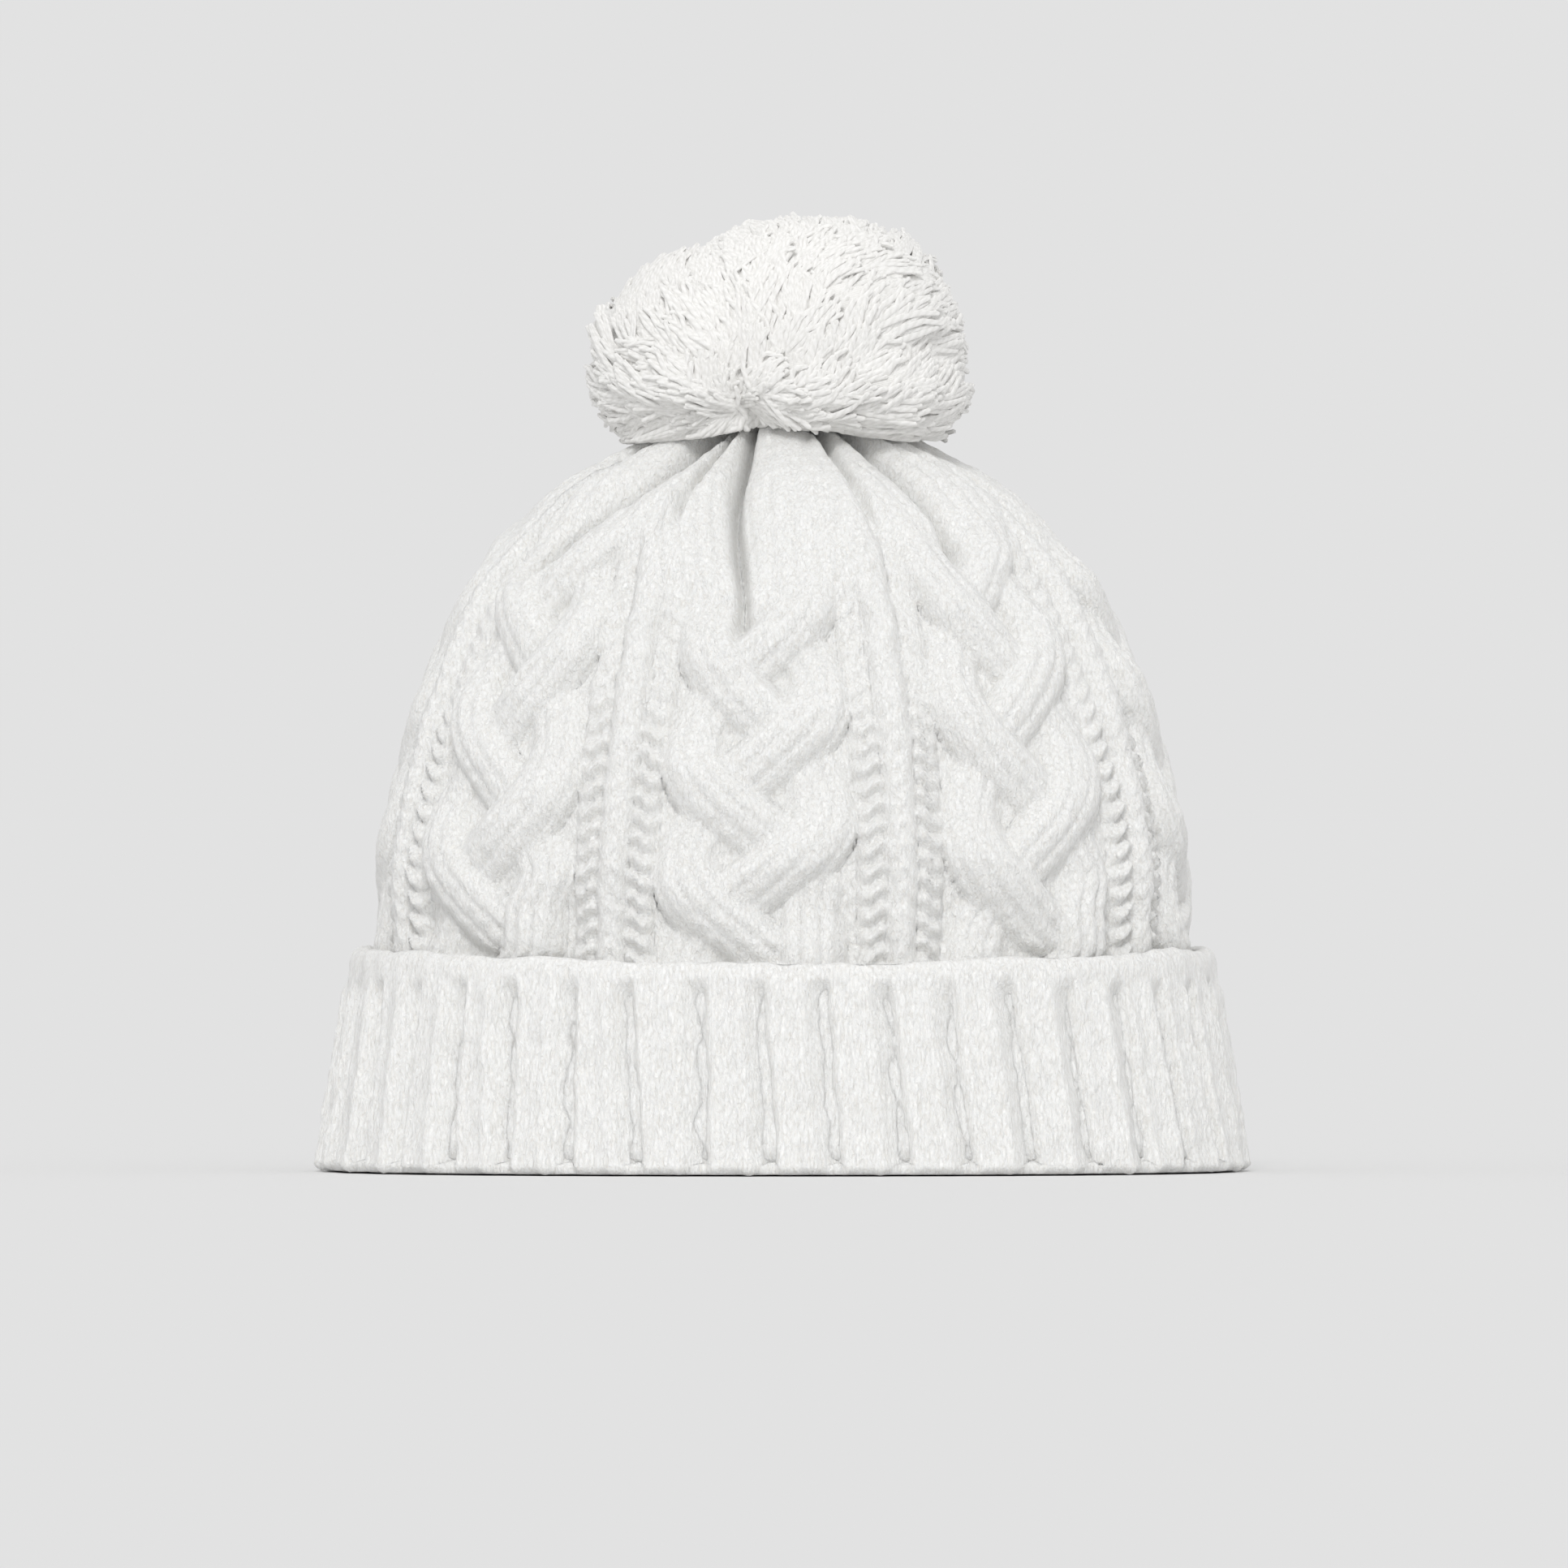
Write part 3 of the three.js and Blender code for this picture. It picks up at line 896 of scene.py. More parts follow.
@dataclass(frozen=True)
class RibbedCuff:
    """The turned-up half of the band: wide ribs between narrow grooves, a plain edge and a rolled hem."""

    form: HatForm
    ribs: int = 40
    groove_top: float = -0.0084
    groove_foot: float = -0.0035
    groove_depth: float = 3.0
    groove_right: float = 0.95
    groove_left: float = 3.4
    wale_height: float = 0.95
    wale_left: float = 6.3
    wale_width: float = 1.9
    hollow_depth: float = 0.25
    pit_depth: float = 0.5
    pit_reach: float = 0.9
    stitch_column: float = 3.9
    stitch_height: float = 0.08
    column_groove: float = 0.14
    slow_waver: float = 0.0009
    quick_waver: float = 0.00035
    unevenness: float = 0.12
    felting: float = 0.22
    edge_waver: float = 0.35
    plain_edge_z: float = 45.5
    edge_round: float = 5.2
    wall_top: float = 4.3
    wall_foot: float = 3.6
    roll: float = 2.7
    columns: int = 1200
    face_rows: int = 46
    edge_rows: int = 12
    stitch_mm: float = 4.8

    def rib(self, share: np.ndarray, z: np.ndarray) -> np.ndarray:
        """Relief of the ribs: a raised wale that falls away to a groove on its right, with a steep far side.

        Args:
            share: share of the way round.
            z: height.

        Returns:
            Millimetres from the cuff's smooth face.
        """
        rise = np.clip(z / self.plain_edge_z, 0, 1)
        slant = self.groove_foot + (self.groove_top - self.groove_foot) * rise
        waver = self.slow_waver * wander(share, z, 21, 18, 60)
        waver = waver + self.quick_waver * wander(share, z, 22, 60, 14)
        turn = (share - slant + waver) * self.ribs
        place = np.mod(turn, 1.0)
        width = self.form.perimeter() * self.form.cuff_half_width(z) / self.ribs
        right, left = place * width, (1 - place) * width
        uneven = 1 + self.unevenness * wander(share, z, 23, 20, 90)
        groove = np.exp(-((right / self.groove_right) ** 2)) + np.exp(-((left / self.groove_left) ** 2))
        wale = self.wale_height * np.exp(-(((left - self.wale_left) / self.wale_width) ** 2))
        hollow = -self.hollow_depth * np.exp(-(((place - 0.3) / 0.14) ** 2))
        near = np.exp(-((np.minimum(right, left) / self.pit_reach) ** 2))
        pits = (0.5 + 0.5 * np.cos(TAU * z / self.stitch_mm)) ** 2 * near
        ribbed = ease(z, self.plain_edge_z + 1.0, self.plain_edge_z - 4.0)
        aside = np.abs(np.mod(place * width / self.stitch_column, 1.0) - 0.5)
        leg = aside * self.stitch_column
        stitches = self.stitch_height * np.cos(TAU * (z + 1.3 * leg) / self.stitch_mm)
        stitches = stitches - self.column_groove * (2 * aside) ** 6
        relief = uneven * (wale + hollow - self.groove_depth * groove)
        relief = relief - self.pit_depth * pits * ease(z, 34.0, 20.0)
        return ribbed * relief + stitches * (0.4 + 0.6 * ribbed)

    def build(self, finish: bpy.types.Material) -> bpy.types.Object:
        """Knits the layer as one closed ring.

        The profile runs up the outer face, over the edge on a quarter of an ellipse, down the inner face and
        under the hem on a half circle.

        Args:
            finish: its material.

        Returns:
            The piece.
        """
        form = self.form
        share = np.arange(self.columns) / self.columns
        top = form.cuff_top(share)[:, None] + self.edge_waver * wander(share, 0 * share, 31, 16, 50)[:, None]
        face = np.linspace(0, 1, self.face_rows)
        z_face = self.roll + face * (top - self.edge_round - self.roll)
        half_face = form.cuff_half_width(z_face)
        turn = np.linspace(0, math.pi / 2, self.edge_rows + 1)[1:]
        z_edge = top - self.edge_round + self.edge_round * np.sin(turn)
        half_edge = form.cuff_half_width(top - self.edge_round) - (self.wall_top - 1.2) * (1 - np.cos(turn))
        back = np.linspace(0, 1, 12)
        z_back = top - 1.2 - back * (top - 1.2 - self.roll * 1.6)
        wall = self.wall_foot + (self.wall_top - self.wall_foot) * (z_back / form.cuff_front_z)
        half_back = np.minimum(form.cuff_half_width(z_back) - wall, form.cuff_half_width(z_face[:, -1:]) + 20)
        under = np.linspace(math.pi, 2 * math.pi, 14)
        middle = form.hem_half_width - self.roll - 1.0
        z_under = np.broadcast_to(self.roll + self.roll * np.sin(under), (self.columns, len(under)))
        half_under = np.broadcast_to(middle + (self.roll + 1.0) * np.cos(under), z_under.shape)
        z = np.concatenate([z_face, z_edge, z_back, z_under[:, :-1]], axis=1)
        half = np.concatenate([half_face, half_edge, half_back, half_under[:, :-1]], axis=1)
        points = form.ring_points(share, half, z)
        normals = surface_normals(points, True)
        shares = np.broadcast_to(share[:, None], z.shape)
        outside = np.zeros(z.shape[1])
        outside[: self.face_rows] = 1
        outside[self.face_rows : self.face_rows + self.edge_rows] = np.cos(turn) ** 0.5
        outside[-6:] = np.linspace(0.2, 1, 6)
        relief = self.rib(shares, z) * outside + self.felting * wander(shares, z, 33, 70, 8)
        relief = relief * np.where(z < 0.4, 0.15, 1)
        points = points + normals * (relief - 0.35)[..., None]
        points[..., 2] = np.maximum(points[..., 2], 0.0)
        down = np.concatenate([[0], np.cumsum(np.abs(np.diff(z[0])) + 0.01)])
        cloth = shares * form.perimeter() * form.hem_half_width
        uv = np.stack([cloth, np.broadcast_to(down, z.shape)], axis=-1).reshape(-1, 2)
        faces = ring_faces(self.columns, z.shape[1])
        piece = put_mesh("cuff_turn_up", points.reshape(-1, 3), faces, finish, uv)
        settle(piece, "cuff_outer_layer", "hat")
        around = form.perimeter() * form.cuff_half_width(form.cuff_front_z / 2)
        return piece


@dataclass(frozen=True)
class InnerBand:
    """The half of the band that lies against the head, with the back of the ribs showing."""

    form: HatForm
    foot_z: float = 3.4
    top_z: float = 45.2
    outer_step: float = 4.6
    wall: float = 3.6
    corner: float = 0.9
    ribs: int = 40
    rib_height: float = 0.9
    stitch_mm: float = 4.8
    columns: int = 640
    rows: int = 30

    def build(self, finish: bpy.types.Material) -> bpy.types.Object:
        """Knits the layer as a closed ring: outer face up, inner face down.

        Args:
            finish: its material.

        Returns:
            The piece.
        """
        share = np.arange(self.columns) / self.columns
        up = np.linspace(self.foot_z, self.top_z, self.rows)
        z = np.concatenate([up, up[::-1]])
        limit = self.form.cuff_half_width(z) - self.outer_step
        limit[self.rows :] -= self.wall
        limit[[0, self.rows - 1]] -= self.corner
        limit[[self.rows, -1]] += self.corner
        points = self.form.ring_points(share, limit, z)
        shares = np.broadcast_to(share[:, None], (self.columns, len(z)))
        inside = np.concatenate([np.zeros(self.rows), np.ones(self.rows)])
        ribs = self.rib_height * np.abs(np.sin(math.pi * self.ribs * shares)) ** 0.5
        stitches = 0.12 * np.cos(TAU * z / self.stitch_mm) * np.cos(TAU * shares * self.ribs * 4)
        relief = (ribs - 0.6 + stitches + 0.2 * wander(shares, z, 41, 40, 12)) * inside
        outward = unit(np.stack(self.form.plan(share), axis=-1))
        points[..., :2] -= outward[:, None, :] * relief[..., None]
        cloth = shares * self.form.perimeter() * self.form.hem_half_width
        uv = np.stack([cloth, np.broadcast_to(z, shares.shape)], axis=-1).reshape(-1, 2)
        faces = ring_faces(self.columns, len(z))
        piece = put_mesh("band_inner_layer", points.reshape(-1, 3), faces, finish, uv)
        settle(piece, "cuff_inner_layer", "hat")
        around = self.form.perimeter() * (self.form.cuff_half_width(self.top_z / 2) - self.outer_step)
        return piece


# --- yarn --------------------------------------------------------------------------------------


def strand_tubes(paths: np.ndarray, radius: np.ndarray, sides: int, upright: np.ndarray) -> tuple:
    """Closed tubes along many paths at once.

    Each ring is a regular polygon square to its path; the first ring is closed flat and the last by a point.

    Args:
        paths: strands x steps x 3.
        radius: strands x steps.
        sides: corners of a ring.
        upright: for each strand, a direction that its path never follows.

    Returns:
        Points, a list of face arrays, the UV (length along in millimetres, share of the way round) and the
        points' outward directions.
    """
    strands, steps, _ = paths.shape
    forward = unit(np.gradient(paths, axis=1))
    across = upright[:, None, :] - (upright[:, None, :] * forward).sum(-1, keepdims=True) * forward
    across = unit(across)
    third = np.cross(forward, across)
    angle = TAU * np.arange(sides) / sides
    ring = across[:, :, None, :] * np.cos(angle)[:, None] + third[:, :, None, :] * np.sin(angle)[:, None]
    points = paths[:, :, None, :] + ring * radius[:, :, None, None]
    tip = paths[:, -1] + forward[:, -1] * radius[:, -1:] * 0.9
    body = points.reshape(strands, steps * sides, 3)
    everything = np.concatenate([body, tip[:, None, :]], axis=1).reshape(-1, 3)
    each = steps * sides + 1
    base = (np.arange(strands) * each)[:, None, None]
    level = (np.arange(steps - 1) * sides)[None, :, None]
    corner = np.arange(sides)[None, None, :]
    beside = (corner + 1) % sides
    here, there = base + level + corner, base + level + beside
    quads = np.stack([here, there, there + sides, here + sides], axis=-1).reshape(-1, 4)
    last = (steps - 1) * sides
    end = np.broadcast_to(base[:, 0] + each - 1, (strands, sides))
    rim = base[:, 0] + last
    fan = np.stack([rim + corner[0], rim + beside[0], end], axis=-1).reshape(-1, 3)
    foot = (base[:, 0] + np.arange(sides)[None, ::-1]).reshape(-1, sides)
    grown = np.cumsum(np.linalg.norm(np.diff(paths, axis=1), axis=-1), axis=1)
    along = np.concatenate([np.zeros((strands, 1)), grown], axis=1)
    around = np.broadcast_to(np.arange(sides) / sides, (strands, steps, sides))
    uv = np.stack([np.broadcast_to(along[:, :, None], around.shape), around], axis=-1).reshape(strands, -1, 2)
    tips = np.stack([along[:, -1] + 0.5, np.zeros(strands)], axis=-1)[:, None, :]
    outward = np.concatenate([ring.reshape(strands, -1, 3), forward[:, -1:]], axis=1).reshape(-1, 3)
    return everything, [quads, fan, foot], np.concatenate([uv, tips], axis=1).reshape(-1, 2), outward


@dataclass(frozen=True)
class Lobe:
    """One soft mass of the pompom."""

    centre: tuple[float, float, float]
    radii: tuple[float, float, float]


def even_directions(count: int, down: float, draw: np.random.Generator, jitter: float) -> np.ndarray:
    """Unit vectors spread evenly, by the golden angle, from straight up to a height of down.

    Args:
        count: how many.
        down: the lowest vector's z.
        draw: the source of chance.
        jitter: how far each may stray.

    Returns:
        An array of count vectors.
    """
    index = np.arange(count) + 0.5
    up = 1 - (1 - down) * index / count
    turn = index * TAU * 0.6180339887
    flat = np.sqrt(np.clip(1 - up * up, 0, 1))
    spread = np.stack([flat * np.cos(turn), flat * np.sin(turn), up], axis=-1)
    return unit(spread + jitter * draw.normal(size=(count, 3)))


@dataclass(frozen=True)
class Pompom:
    """Cut strands of soft yarn, bound at the middle.

    They rise from a dense heart and fall along the outside, towards a low point at the front and another at
    the back. A few of them are loose: longer, and more curled.
    """

    core: tuple[float, float, float] = (-1.0, 0.0, 190.0)
    fan: tuple[float, float, float] = (-10.0, -30.0, 176.0)
    strands: int = 8400
    tufts: int = 360
    lowest: float = -0.72
    parts: int = 4
    steps: int = 8
    sides: int = 5
    yarn_radius: float = 0.95
    heart: float = 0.955
    heart_grid: tuple[int, int] = (96, 48)
    softness: float = 0.42
    bends: tuple[float, float] = (0.34, 0.72)
    curls_mm: tuple[float, float] = (0.4, 1.4)
    swirl_turn: float = 0.24
    tuft_turn: float = 0.16
    strand_turn: float = 0.16
    tuft_pull: float = 0.24
    uneven_tufts: float = 0.02
    uneven_strands: float = 0.04
    root_share: float = 0.86
    loose_share: float = 0.14
    loose_rise: float = 0.012
    loose_curl: float = 1.6
    seed: int = 17
    dimple: float = 5.0
    dimple_reach: float = 0.03
    lobe_blend: float = 0.9
    seat_z: float = 177.4
    seat_reach: float = 15.0
    seat_fall: float = 0.30
    seat_gap: float = 1.5
    lobes: tuple[Lobe, ...] = (
        Lobe((6.5, 0, 196), (36.0, 35, 28.2)),
        Lobe((-17.0, 0, 189.5), (27.8, 31, 27.0)),
        Lobe((21.5, 0, 184), (21.4, 35, 15.6)),
        Lobe((4.0, 0, 184), (26.0, 37, 14.0)),
        Lobe((-22.5, 0, 184), (20.6, 32, 13.0)),
    )

    def skin(self, directions: np.ndarray) -> np.ndarray:
        """Distance from the core to the pompom's skin: the longest way out of any lobe, softly blended.

        Args:
            directions: unit vectors.

        Returns:
            Millimetres, for each direction.
        """
        ways_out = []
        for lobe in self.lobes:
            scale = np.array(lobe.radii)
            start = (np.array(self.core) - np.array(lobe.centre)) / scale
            way = directions / scale
            a = (way * way).sum(-1)
            b = (way * start).sum(-1)
            c = (start * start).sum(-1) - 1
            inside = np.maximum(b * b - a * c, 0)
            ways_out.append(np.maximum((-b + np.sqrt(inside)) / a, 1.0))
        front = unit(np.array(self.fan) - np.array(self.core))
        back = front * np.array([-1, -1, 1])
        facing = np.maximum((directions * front).sum(-1), (directions * back).sum(-1))
        return soft_max(ways_out, self.lobe_blend) - self.dimple * np.exp(-((1 - facing) / self.dimple_reach))

    def seated(self, points: np.ndarray) -> np.ndarray:
        """Keeps points above the gathered top of the crown, on which the pompom sits.

        Args:
            points: points of the pompom.

        Returns:
            The points, with those that were too low raised.
        """
        reach = np.hypot(points[..., 0], points[..., 1] / 0.8)
        seat = self.seat_z - self.seat_fall * np.maximum(reach - self.seat_reach, 0)
        over = points[..., 2] - seat
        gap = self.seat_gap
        raised = seat + np.where(over > gap, over, gap * np.exp(np.minimum(over - gap, 0) / 4.0))
        return np.concatenate([points[..., :2], raised[..., None]], axis=-1)

    def swirl(self, directions: np.ndarray) -> np.ndarray:
        """The turn of the lie of the strands, which changes slowly over the pompom.

        Args:
            directions: unit vectors.

        Returns:
            Radians, for each direction: three waves that cross.
        """
        x, y, z = directions[..., 0], directions[..., 1], directions[..., 2]
        waves = np.sin(4.1 * x + 3.3 * z + 0.4) + np.sin(4.4 * y - 4.2 * x + 1.9)
        return self.swirl_turn * (waves + np.sin(5.3 * z + 4.1 * y + 3.0))

    def paths(self) -> tuple[np.ndarray, np.ndarray, np.ndarray]:
        """The strands' middles.

        A strand leaves the heart under its root direction and climbs to the skin while its direction turns
        to that of its tip, so its outer part leans along the skin. Tips are drawn together into tufts, and
        each tuft has its own lie and its own length.

        Returns:
            Paths, radii and a direction square to each path.
        """
        draw = np.random.default_rng(self.seed)
        n = self.strands
        tip = even_directions(n, self.lowest, draw, 0.03)
        tuft_way = even_directions(self.tufts, self.lowest, draw, 0.05)
        tuft = np.argmax(tip @ tuft_way.T, axis=1)
        tuft_turn = self.tuft_turn * draw.normal(size=self.tufts)
        tuft_length = 1 + self.uneven_tufts * draw.normal(size=self.tufts)
        tuft_bend = draw.uniform(0.75, 1.25, self.tufts)
        front = unit(np.array(self.fan) - np.array(self.core))
        pole = np.where(tip[:, 1:2] < 0.1, front, front * np.array([-1, -1, 1]))
        towards = unit(pole - (pole * tip).sum(-1, keepdims=True) * tip)
        sideways = np.cross(tip, towards)
        turn = self.swirl(tuft_way)[tuft] + tuft_turn[tuft] + self.strand_turn * draw.normal(size=n)
        lean = towards * np.cos(turn)[:, None] + sideways * np.sin(turn)[:, None]
        level = 0.45 + 0.55 * (1 - np.maximum(tip[:, 2], 0) ** 2)
        bend = draw.uniform(*self.bends, n) * tuft_bend[tuft] * level
        root = tip * np.cos(bend)[:, None] + lean * np.sin(bend)[:, None]
        gathered = unit(tip + self.tuft_pull * (tuft_way[tuft] - tip))
        s = np.linspace(0, 1, self.steps)[None, :, None]
        share = s**1.1
        way = unit(root[:, None, :] * (1 - share) + gathered[:, None, :] * share)
        loose = draw.random(n) < self.loose_share
        climb = self.root_share + (1 - self.root_share + self.loose_rise * loose[:, None]) * s[..., 0]
        depth = tuft_length[tuft] * (1 - self.uneven_strands * draw.random(n) ** 2)
        path = np.array(self.core) + way * (self.skin(way) * climb * depth[:, None])[..., None]
        wave = (draw.uniform(*self.curls_mm, n) * (1 + self.loose_curl * loose))[:, None, None]
        beat = draw.uniform(0.5, 1.3, (n, 1, 1))
        curl = wave * np.sin(TAU * (s * beat + draw.random((n, 1, 1))))
        upright = unit(np.cross(root, tip))
        path = self.seated(path + curl * s * upright[:, None, :])
        thickness = self.yarn_radius * draw.uniform(0.8, 1.15, (n, 1)) * (1 - 0.4 * s[..., 0] ** 3)
        return path, thickness, upright

    def make_heart(self, finish: bpy.types.Material) -> bpy.types.Object:
        """The dense middle of the pompom, where the strands are too close to be told apart.

        Args:
            finish: its material.

        Returns:
            The piece.
        """
        columns, rows = self.heart_grid
        turn = TAU * np.arange(columns) / columns
        rise = np.linspace(-1, 1, rows + 2)[1:-1] * math.pi / 2
        way = np.stack(
            [
                np.cos(turn)[:, None] * np.cos(rise),
                np.sin(turn)[:, None] * np.cos(rise),
                np.broadcast_to(np.sin(rise), (columns, rows)),
            ],
            axis=-1,
        )
        grid = self.seated(np.array(self.core) + way * (self.skin(way) * self.heart)[..., None])
        points = np.concatenate([grid.reshape(-1, 3), [grid[:, 0].mean(0), grid[:, -1].mean(0)]])
        foot = np.arange(columns) * rows
        beside = np.roll(foot, -1)
        bottom = np.stack([beside, foot, np.full(columns, columns * rows)], axis=-1)
        top = np.stack([foot + rows - 1, beside + rows - 1, np.full(columns, columns * rows + 1)], axis=-1)
        uv = np.stack([points[:, 0] + points[:, 1], points[:, 2]], axis=-1)
        return put_mesh("pompom_heart", points, [grid_quads(columns, rows, True), bottom, top], finish, uv)

    def build(self, finish: bpy.types.Material) -> list[bpy.types.Object]:
        """Spins the strands into pieces small enough to keep whole.

        Args:
            finish: their material.

        Returns:
            The pieces.
        """
        path, thickness, upright = self.paths()
        made = [self.make_heart(finish)]
        for part in range(self.parts):
            pick = slice(part, None, self.parts)
            points, faces, uv, outward = strand_tubes(path[pick], thickness[pick], self.sides, upright[pick])
            bulk = unit(points - np.array(self.core) + np.array([0, 0, 6.0]))
            soft = unit(outward * (1 - self.softness) + bulk * self.softness)
            made.append(put_mesh(f"pompom_strands_{part + 1}", points, faces, finish, uv, soft))
        for piece in made:
            settle(piece, "pompom", "pompom")
        return made


# --- small sewn parts --------------------------------------------------------------------------


def smooth_curve(knots: np.ndarray, steps: int, closed: bool = False) -> np.ndarray:
    """A smooth curve through points (Catmull-Rom), sampled evenly between them.

    Args:
        knots: the points it passes through.
        steps: samples between two points.
        closed: whether the last point joins the first.

    Returns:
        The samples.
    """
    count = len(knots)
    if closed:
        ring = np.concatenate([knots[-1:], knots, knots[:2]])
        spans = count
    else:
        ring = np.concatenate([2 * knots[:1] - knots[1:2], knots, 2 * knots[-1:] - knots[-2:-1]])
        spans = count - 1
    t = (np.arange(steps) / steps)[None, :, None]
    a, b, c, d = (ring[i : i + spans, None, :] for i in range(4))
    curve = 0.5 * (2 * b + (c - a) * t + (2 * a - 5 * b + 4 * c - d) * t**2 + (3 * b - a - 3 * c + d) * t**3)
    curve = curve.reshape(-1, 3)
    return curve if closed else np.concatenate([curve, knots[-1:]])


def plied(path: np.ndarray, radius: float, lay_mm: float, closed: bool = False) -> list[np.ndarray]:
    """Two plies wound round a path, each half the yarn's width from its middle.

    Args:
        path: the yarn's middle.
        radius: the yarn's radius.
        lay_mm: the length of one turn of the plies.
        closed: whether the path is a ring; the lay is then stretched to whole turns.

    Returns:
        The middles of the two plies.
    """
    if closed:
        path = np.concatenate([path, path[:1]])
    forward = unit(np.gradient(path, axis=0))
    spare = np.array([0.31, 0.17, 0.93])
    across = unit(np.cross(forward, spare))
    third = np.cross(forward, across)
    along = np.concatenate([[0], np.cumsum(np.linalg.norm(np.diff(path, axis=0), axis=1))])
    turns = along / lay_mm
    if closed:
        turns = along / along[-1] * max(round(along[-1] / lay_mm), 1)
    made = []
    for start in (0.0, 0.5):
        angle = (TAU * (turns + start))[:, None]
        made.append(path + radius * 0.5 * (across * np.cos(angle) + third * np.sin(angle)))
    return made


@dataclass(frozen=True)
class YarnWork:
    """Sewing and tying yarn: seams, stitches, the gather, the tie, its knot and the pompom's binding."""

    finish: bpy.types.Material
    sides: int = 8
    lay_mm: float = 5.0
    sewing_radius: float = 0.62
    join_steps: int = 276
    tack_radius: float = 0.45
    gather_radius: float = 0.75
    tie_radius: float = 1.15
    tie_reach: float = 1.35
    tie_lay_mm: float = 16.0
    knot_radius: float = 1.5
    binding_radius: float = 1.2
    binding_turns: int = 6
    upright: tuple[float, float, float] = (0.31, 0.17, 0.93)

    def spin(self, name: str, paths: list[np.ndarray], radius: float) -> bpy.types.Object:
        """Makes one mesh of yarns that each follow a path.

        Args:
            name: the piece's name.
            paths: the middles of the yarns, of any lengths.
            radius: their radius.

        Returns:
            The piece.
        """
        points, faces, uvs, start = [], [[], [], []], [], 0
        for path in paths:
            upright = unit(np.array([self.upright]))
            size = np.full((1, len(path)), radius)
            these, sorts, uv, _ = strand_tubes(path[None], size, self.sides, upright)
            for kept, new in zip(faces, sorts):
                kept.append(new + start)
            points.append(these)
            uvs.append(uv)
            start += len(these)
        sorts = [np.concatenate(sort) for sort in faces]
        return put_mesh(name, np.concatenate(points), sorts, self.finish, np.concatenate(uvs))

    def box(self, node: str) -> tuple[np.ndarray, np.ndarray]:
        """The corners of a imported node's box.

        Args:
            node: the node's name.

        Returns:
            The lowest and the highest corner, in millimetres.
        """
        low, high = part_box(node)
        return np.array(low) / MM, np.array(high) / MM

    def seams(self, crown: CrownKnit) -> None:
        """The seam up the inside of the crown's back, that of the cuff, the join and the tack stitch.

        A seam is overcast: its yarn zigzags across a line, one turn a row of knitting.

        Args:
            crown: the crown, whose inside the seams follow.
        """
        _, heights, halves = crown.form.meridian(crown.base_z)
        low, high = self.box("crown_back_seam")
        pitch = crown.stitch_mm
        z = np.arange(low[2] + 1, high[2] - 1, pitch / 4)
        reach = np.interp(z, heights, halves) * crown.form.depth_share - crown.wall - 0.6
        step = np.arange(len(z))
        knots = np.stack([1.6 * np.sin(step * math.pi / 2), reach - 0.5 * np.cos(step * math.pi / 2), z], -1)
        seam = plied(smooth_curve(knots, 3), 0.9, self.lay_mm)
        piece = self.spin("crown_back_seam_yarn", seam, self.sewing_radius)
        settle(piece, "crown_back_seam", "hat")
        low, high = self.box("cuff_back_seam")
        z = np.linspace(low[2], high[2], 22)
        lean = (high[1] - low[1] - 1.6) / (high[2] - low[2])
        y = high[1] - 1.3 - lean * (z - low[2])
        knots = np.stack([0.9 * (-1.0) ** np.arange(len(z)), y, z], axis=-1)
        piece = self.spin("cuff_back_seam_yarn", [smooth_curve(knots, 4)], 0.6)
        settle(piece, "cuff_back_seam", "hat")
        low, high = self.box("cuff_tack_stitch")
        knots = np.array(
            [
                [0.0, high[1] - 0.8, low[2] + 0.4],
                [0.3, high[1] - 1.1, low[2] + 5.6],
                [0.0, (low[1] + high[1]) / 2, high[2] - 2.6],
                [-0.3, low[1] + 0.7, high[2] - 0.6],
            ]
        )
        piece = self.spin("cuff_tack_stitch_yarn", plied(smooth_curve(knots, 8), 0.7, 4.0), self.tack_radius)
        settle(piece, "cuff_tack_stitch", "hat")
        low, high = self.box("crown_join_seam")
        step = np.arange(self.join_steps)
        x, y = crown.form.plan(step / self.join_steps)
        wave = np.array([0.0, 1.0, 0.0, -1.0])[step % 4]
        reach = high[0] - 1.6 + 0.9 * wave
        height = (low[2] + high[2]) / 2 + 1.1 * np.roll(wave, 1)
        ring = smooth_curve(np.stack([x * reach, y * reach, height], axis=-1), 3, True)
        ring = np.concatenate([ring, ring[:1]])
        piece = self.spin("crown_join_yarn", [ring], self.sewing_radius)
        settle(piece, "crown_join_seam", "hat")

